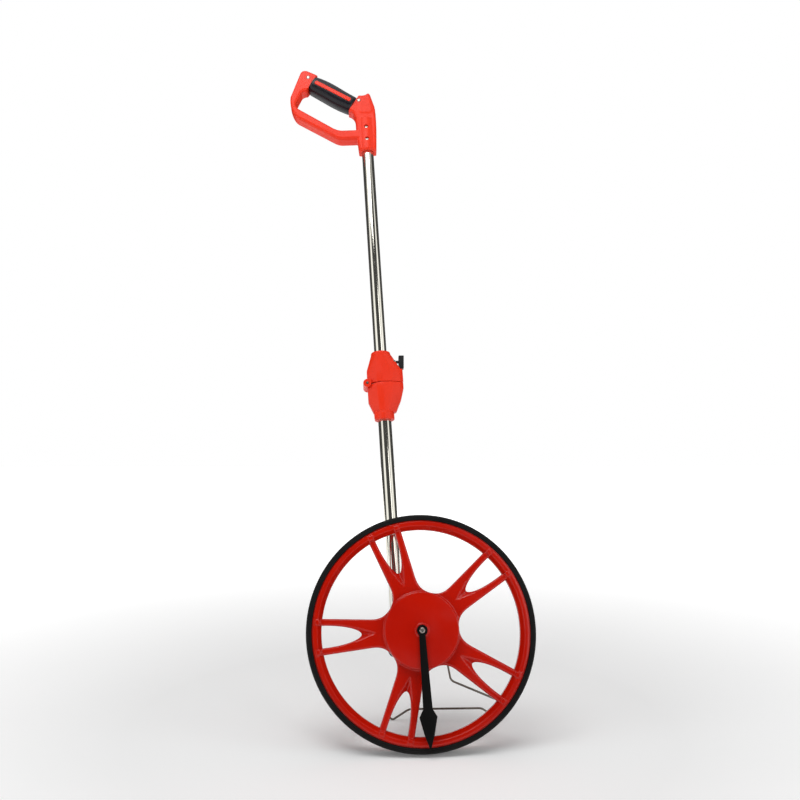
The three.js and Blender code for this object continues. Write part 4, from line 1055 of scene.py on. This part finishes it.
def build_handle():
    body = handle_body()
    for name, node, start, end in (
        ("handle_front", "handle_front_shell", 55.85, 90), ("handle_rear", "handle_rear_shell", 20, 56.15),
    ):
        other_half = box((-200, start, 760), (30, end, 1000))
        half = cut(body.copy(), other_half)
        piece(name, half, BRIGHT_RED, "upper", [node], angle=40)
    bpy.data.meshes.remove(body)
    piece("grip_sleeve", grip_mesh(), GRIP_RUBBER, "upper", ["handle_grip"], angle=40)
    for side, name in ((-1, "front"), (1, "rear")):
        strip = along_grip(inlay_mesh(7, 71, 3.4), side * 14.6)
        piece(f"grip_strip_{name}", strip, BRIGHT_RED, "upper", [f"grip_inlay_{name}"])
    for i, (x, z) in enumerate(HANDLE_SCREWS):
        screw = shifted(cross_screw(3, 1.8, 1.3, 7 if i > 1 else 18), x, HANDLE_FRONT - 0.7, z)
        piece(f"shell_screw_{i + 1}", screw, PLATED, "upper", [f"handle_screw_{i + 1}"])


# ------------------------------------------------------------------ carried-over CAD nodes


def dress_cad_nodes():
    """The small pieces inside keep their CAD shape and get their finish."""
    looks = {
        "front_bush": NYLON, "rear_bush": NYLON, "hub_drive_gear": NYLON, "counter_gear": NYLON,
        "axle": PLATED, "axle_nut": PLATED, "drum_shaft": PLATED, "latch_pin": PLATED,
        "latch_spring": PLATED,
    }
    for node, look in looks.items():
        mesh = frame["nodes"][node].data
        mesh.materials.clear()
        mesh.materials.append(look)


# ------------------------------------------------------------------ stage, light and camera

WALL_EDGE = (0.56, 0.68)                       # how far to the side the bright walls start
WALL_BACK = (-0.05, -0.30)                     # and where they end towards the wheel's back
CEILING_EDGE = (0.70, 0.92)
WALL_GLOW = 1.3
CEILING_GLOW = 1.0
ROOM_GLOW = 0.07
FLOOR_FADE = (0.4, 2.2)                        # metres from the wheel over which the floor turns white
FLOOR_NEAR_GLOW = 0.1
FLOOR_GLOW = 0.9


def build_floor():
    bm = bmesh.new()
    bmesh.ops.create_grid(bm, x_segments=8, y_segments=8, size=9)
    mesh = from_bmesh(bm, "floor")
    look = Look("floor_paper", Roughness=0.9)
    look.feed("Base Color", look.mixed(look.noise(3, 2), (0.86, 0.86, 0.86), (0.9, 0.9, 0.9)))
    look.feed("Normal", look.bump(look.noise(200, 3), 0.0001, 0.1))
    away = look.node("ShaderNodeVectorMath", [("Vector", look.place)], operation="LENGTH").outputs["Value"]
    look.shader.inputs["Emission Color"].default_value = (1, 1, 1, 1)
    look.feed("Emission Strength", look.ranged(away, FLOOR_NEAR_GLOW, FLOOR_GLOW, *FLOOR_FADE))
    mesh.materials.append(look.material)
    link(bpy.data.objects.new("floor", mesh))


def build_world():
    """A pale room by direction: bright walls to the left and right, a bright ceiling, dim ends."""
    world = bpy.data.worlds.new("pale_room")
    bpy.context.scene.world = world
    world.use_nodes = True
    tree = world.node_tree
    background = tree.nodes["Background"]

    def math_node(operation, *inputs, clamp=False):
        node = tree.nodes.new("ShaderNodeMath")
        node.operation = operation
        node.use_clamp = clamp
        for socket, value in zip(node.inputs, inputs):
            if isinstance(value, (int, float)):
                socket.default_value = value
            else:
                tree.links.new(value, socket)
        return node.outputs[0]

    def step(value, start, end):
        node = tree.nodes.new("ShaderNodeMapRange")
        node.interpolation_type = "SMOOTHSTEP"
        tree.links.new(value, node.inputs["Value"])
        node.inputs["From Min"].default_value = start
        node.inputs["From Max"].default_value = end
        return node.outputs["Result"]

    direction = tree.nodes.new("ShaderNodeTexCoord").outputs["Generated"]
    parts = tree.nodes.new("ShaderNodeSeparateXYZ")
    tree.links.new(direction, parts.inputs[0])
    sideways = math_node("ABSOLUTE", parts.outputs["X"])
    walls = math_node("MULTIPLY", step(sideways, *WALL_EDGE), step(parts.outputs["Y"], *WALL_BACK))
    ceiling = step(parts.outputs["Z"], *CEILING_EDGE)
    from_walls = math_node("MULTIPLY", walls, WALL_GLOW)
    from_ceiling = math_node("MULTIPLY", ceiling, CEILING_GLOW)
    room = math_node("ADD", math_node("ADD", from_walls, from_ceiling), ROOM_GLOW)
    seen = tree.nodes.new("ShaderNodeLightPath").outputs["Is Camera Ray"]
    plain = math_node("MULTIPLY", seen, 1.0)
    hidden = math_node("MULTIPLY", math_node("SUBTRACT", 1.0, seen), room)
    tree.links.new(math_node("ADD", plain, hidden), background.inputs["Strength"])
    background.inputs["Color"].default_value = (1, 1, 1, 1)


def build_light():
    """One large soft box overhead, a little towards the camera, and a weak tall one at the front."""
    for name, place, power, width, height in (
        ("soft_top", (-0.5, -1.0, 2.5), 22, 1.6, 1.2), ("soft_front", (1.1, -2.2, 1.2), 7, 0.6, 1.6),
    ):
        lamp = bpy.data.lights.new(name, "AREA")
        lamp.shape = "RECTANGLE"
        lamp.size = width
        lamp.size_y = height
        lamp.energy = power
        obj = link(bpy.data.objects.new(name, lamp))
        obj.location = place
        aim = Vector((0, 0, 0.4)) - Vector(place)
        obj.rotation_euler = aim.to_track_quat("-Z", "Y").to_euler()


def build_camera():
    """The camera stands 27 cm above the hub, 1.14 m in front of it, and looks slightly upward."""
    camera = bpy.data.cameras.new("camera")
    camera.lens = 36.58
    camera.sensor_width = 36
    obj = link(bpy.data.objects.new("camera", camera))
    obj.location = HUB + Vector((-0.0746, -1.1391, 0.2738))
    obj.rotation_euler = Vector((0.0396, 0.9984, 0.0405)).to_track_quat("-Z", "Y").to_euler()
    bpy.context.scene.camera = obj
    bpy.context.scene.view_settings.view_transform = "Standard"


build_camera()
build_world()
build_light()
build_floor()
build_wheel()
build_pointer()
build_case()
build_reset_spring()
build_counter()
build_stand()
build_tubes()
build_joint()
build_handle()
dress_cad_nodes()
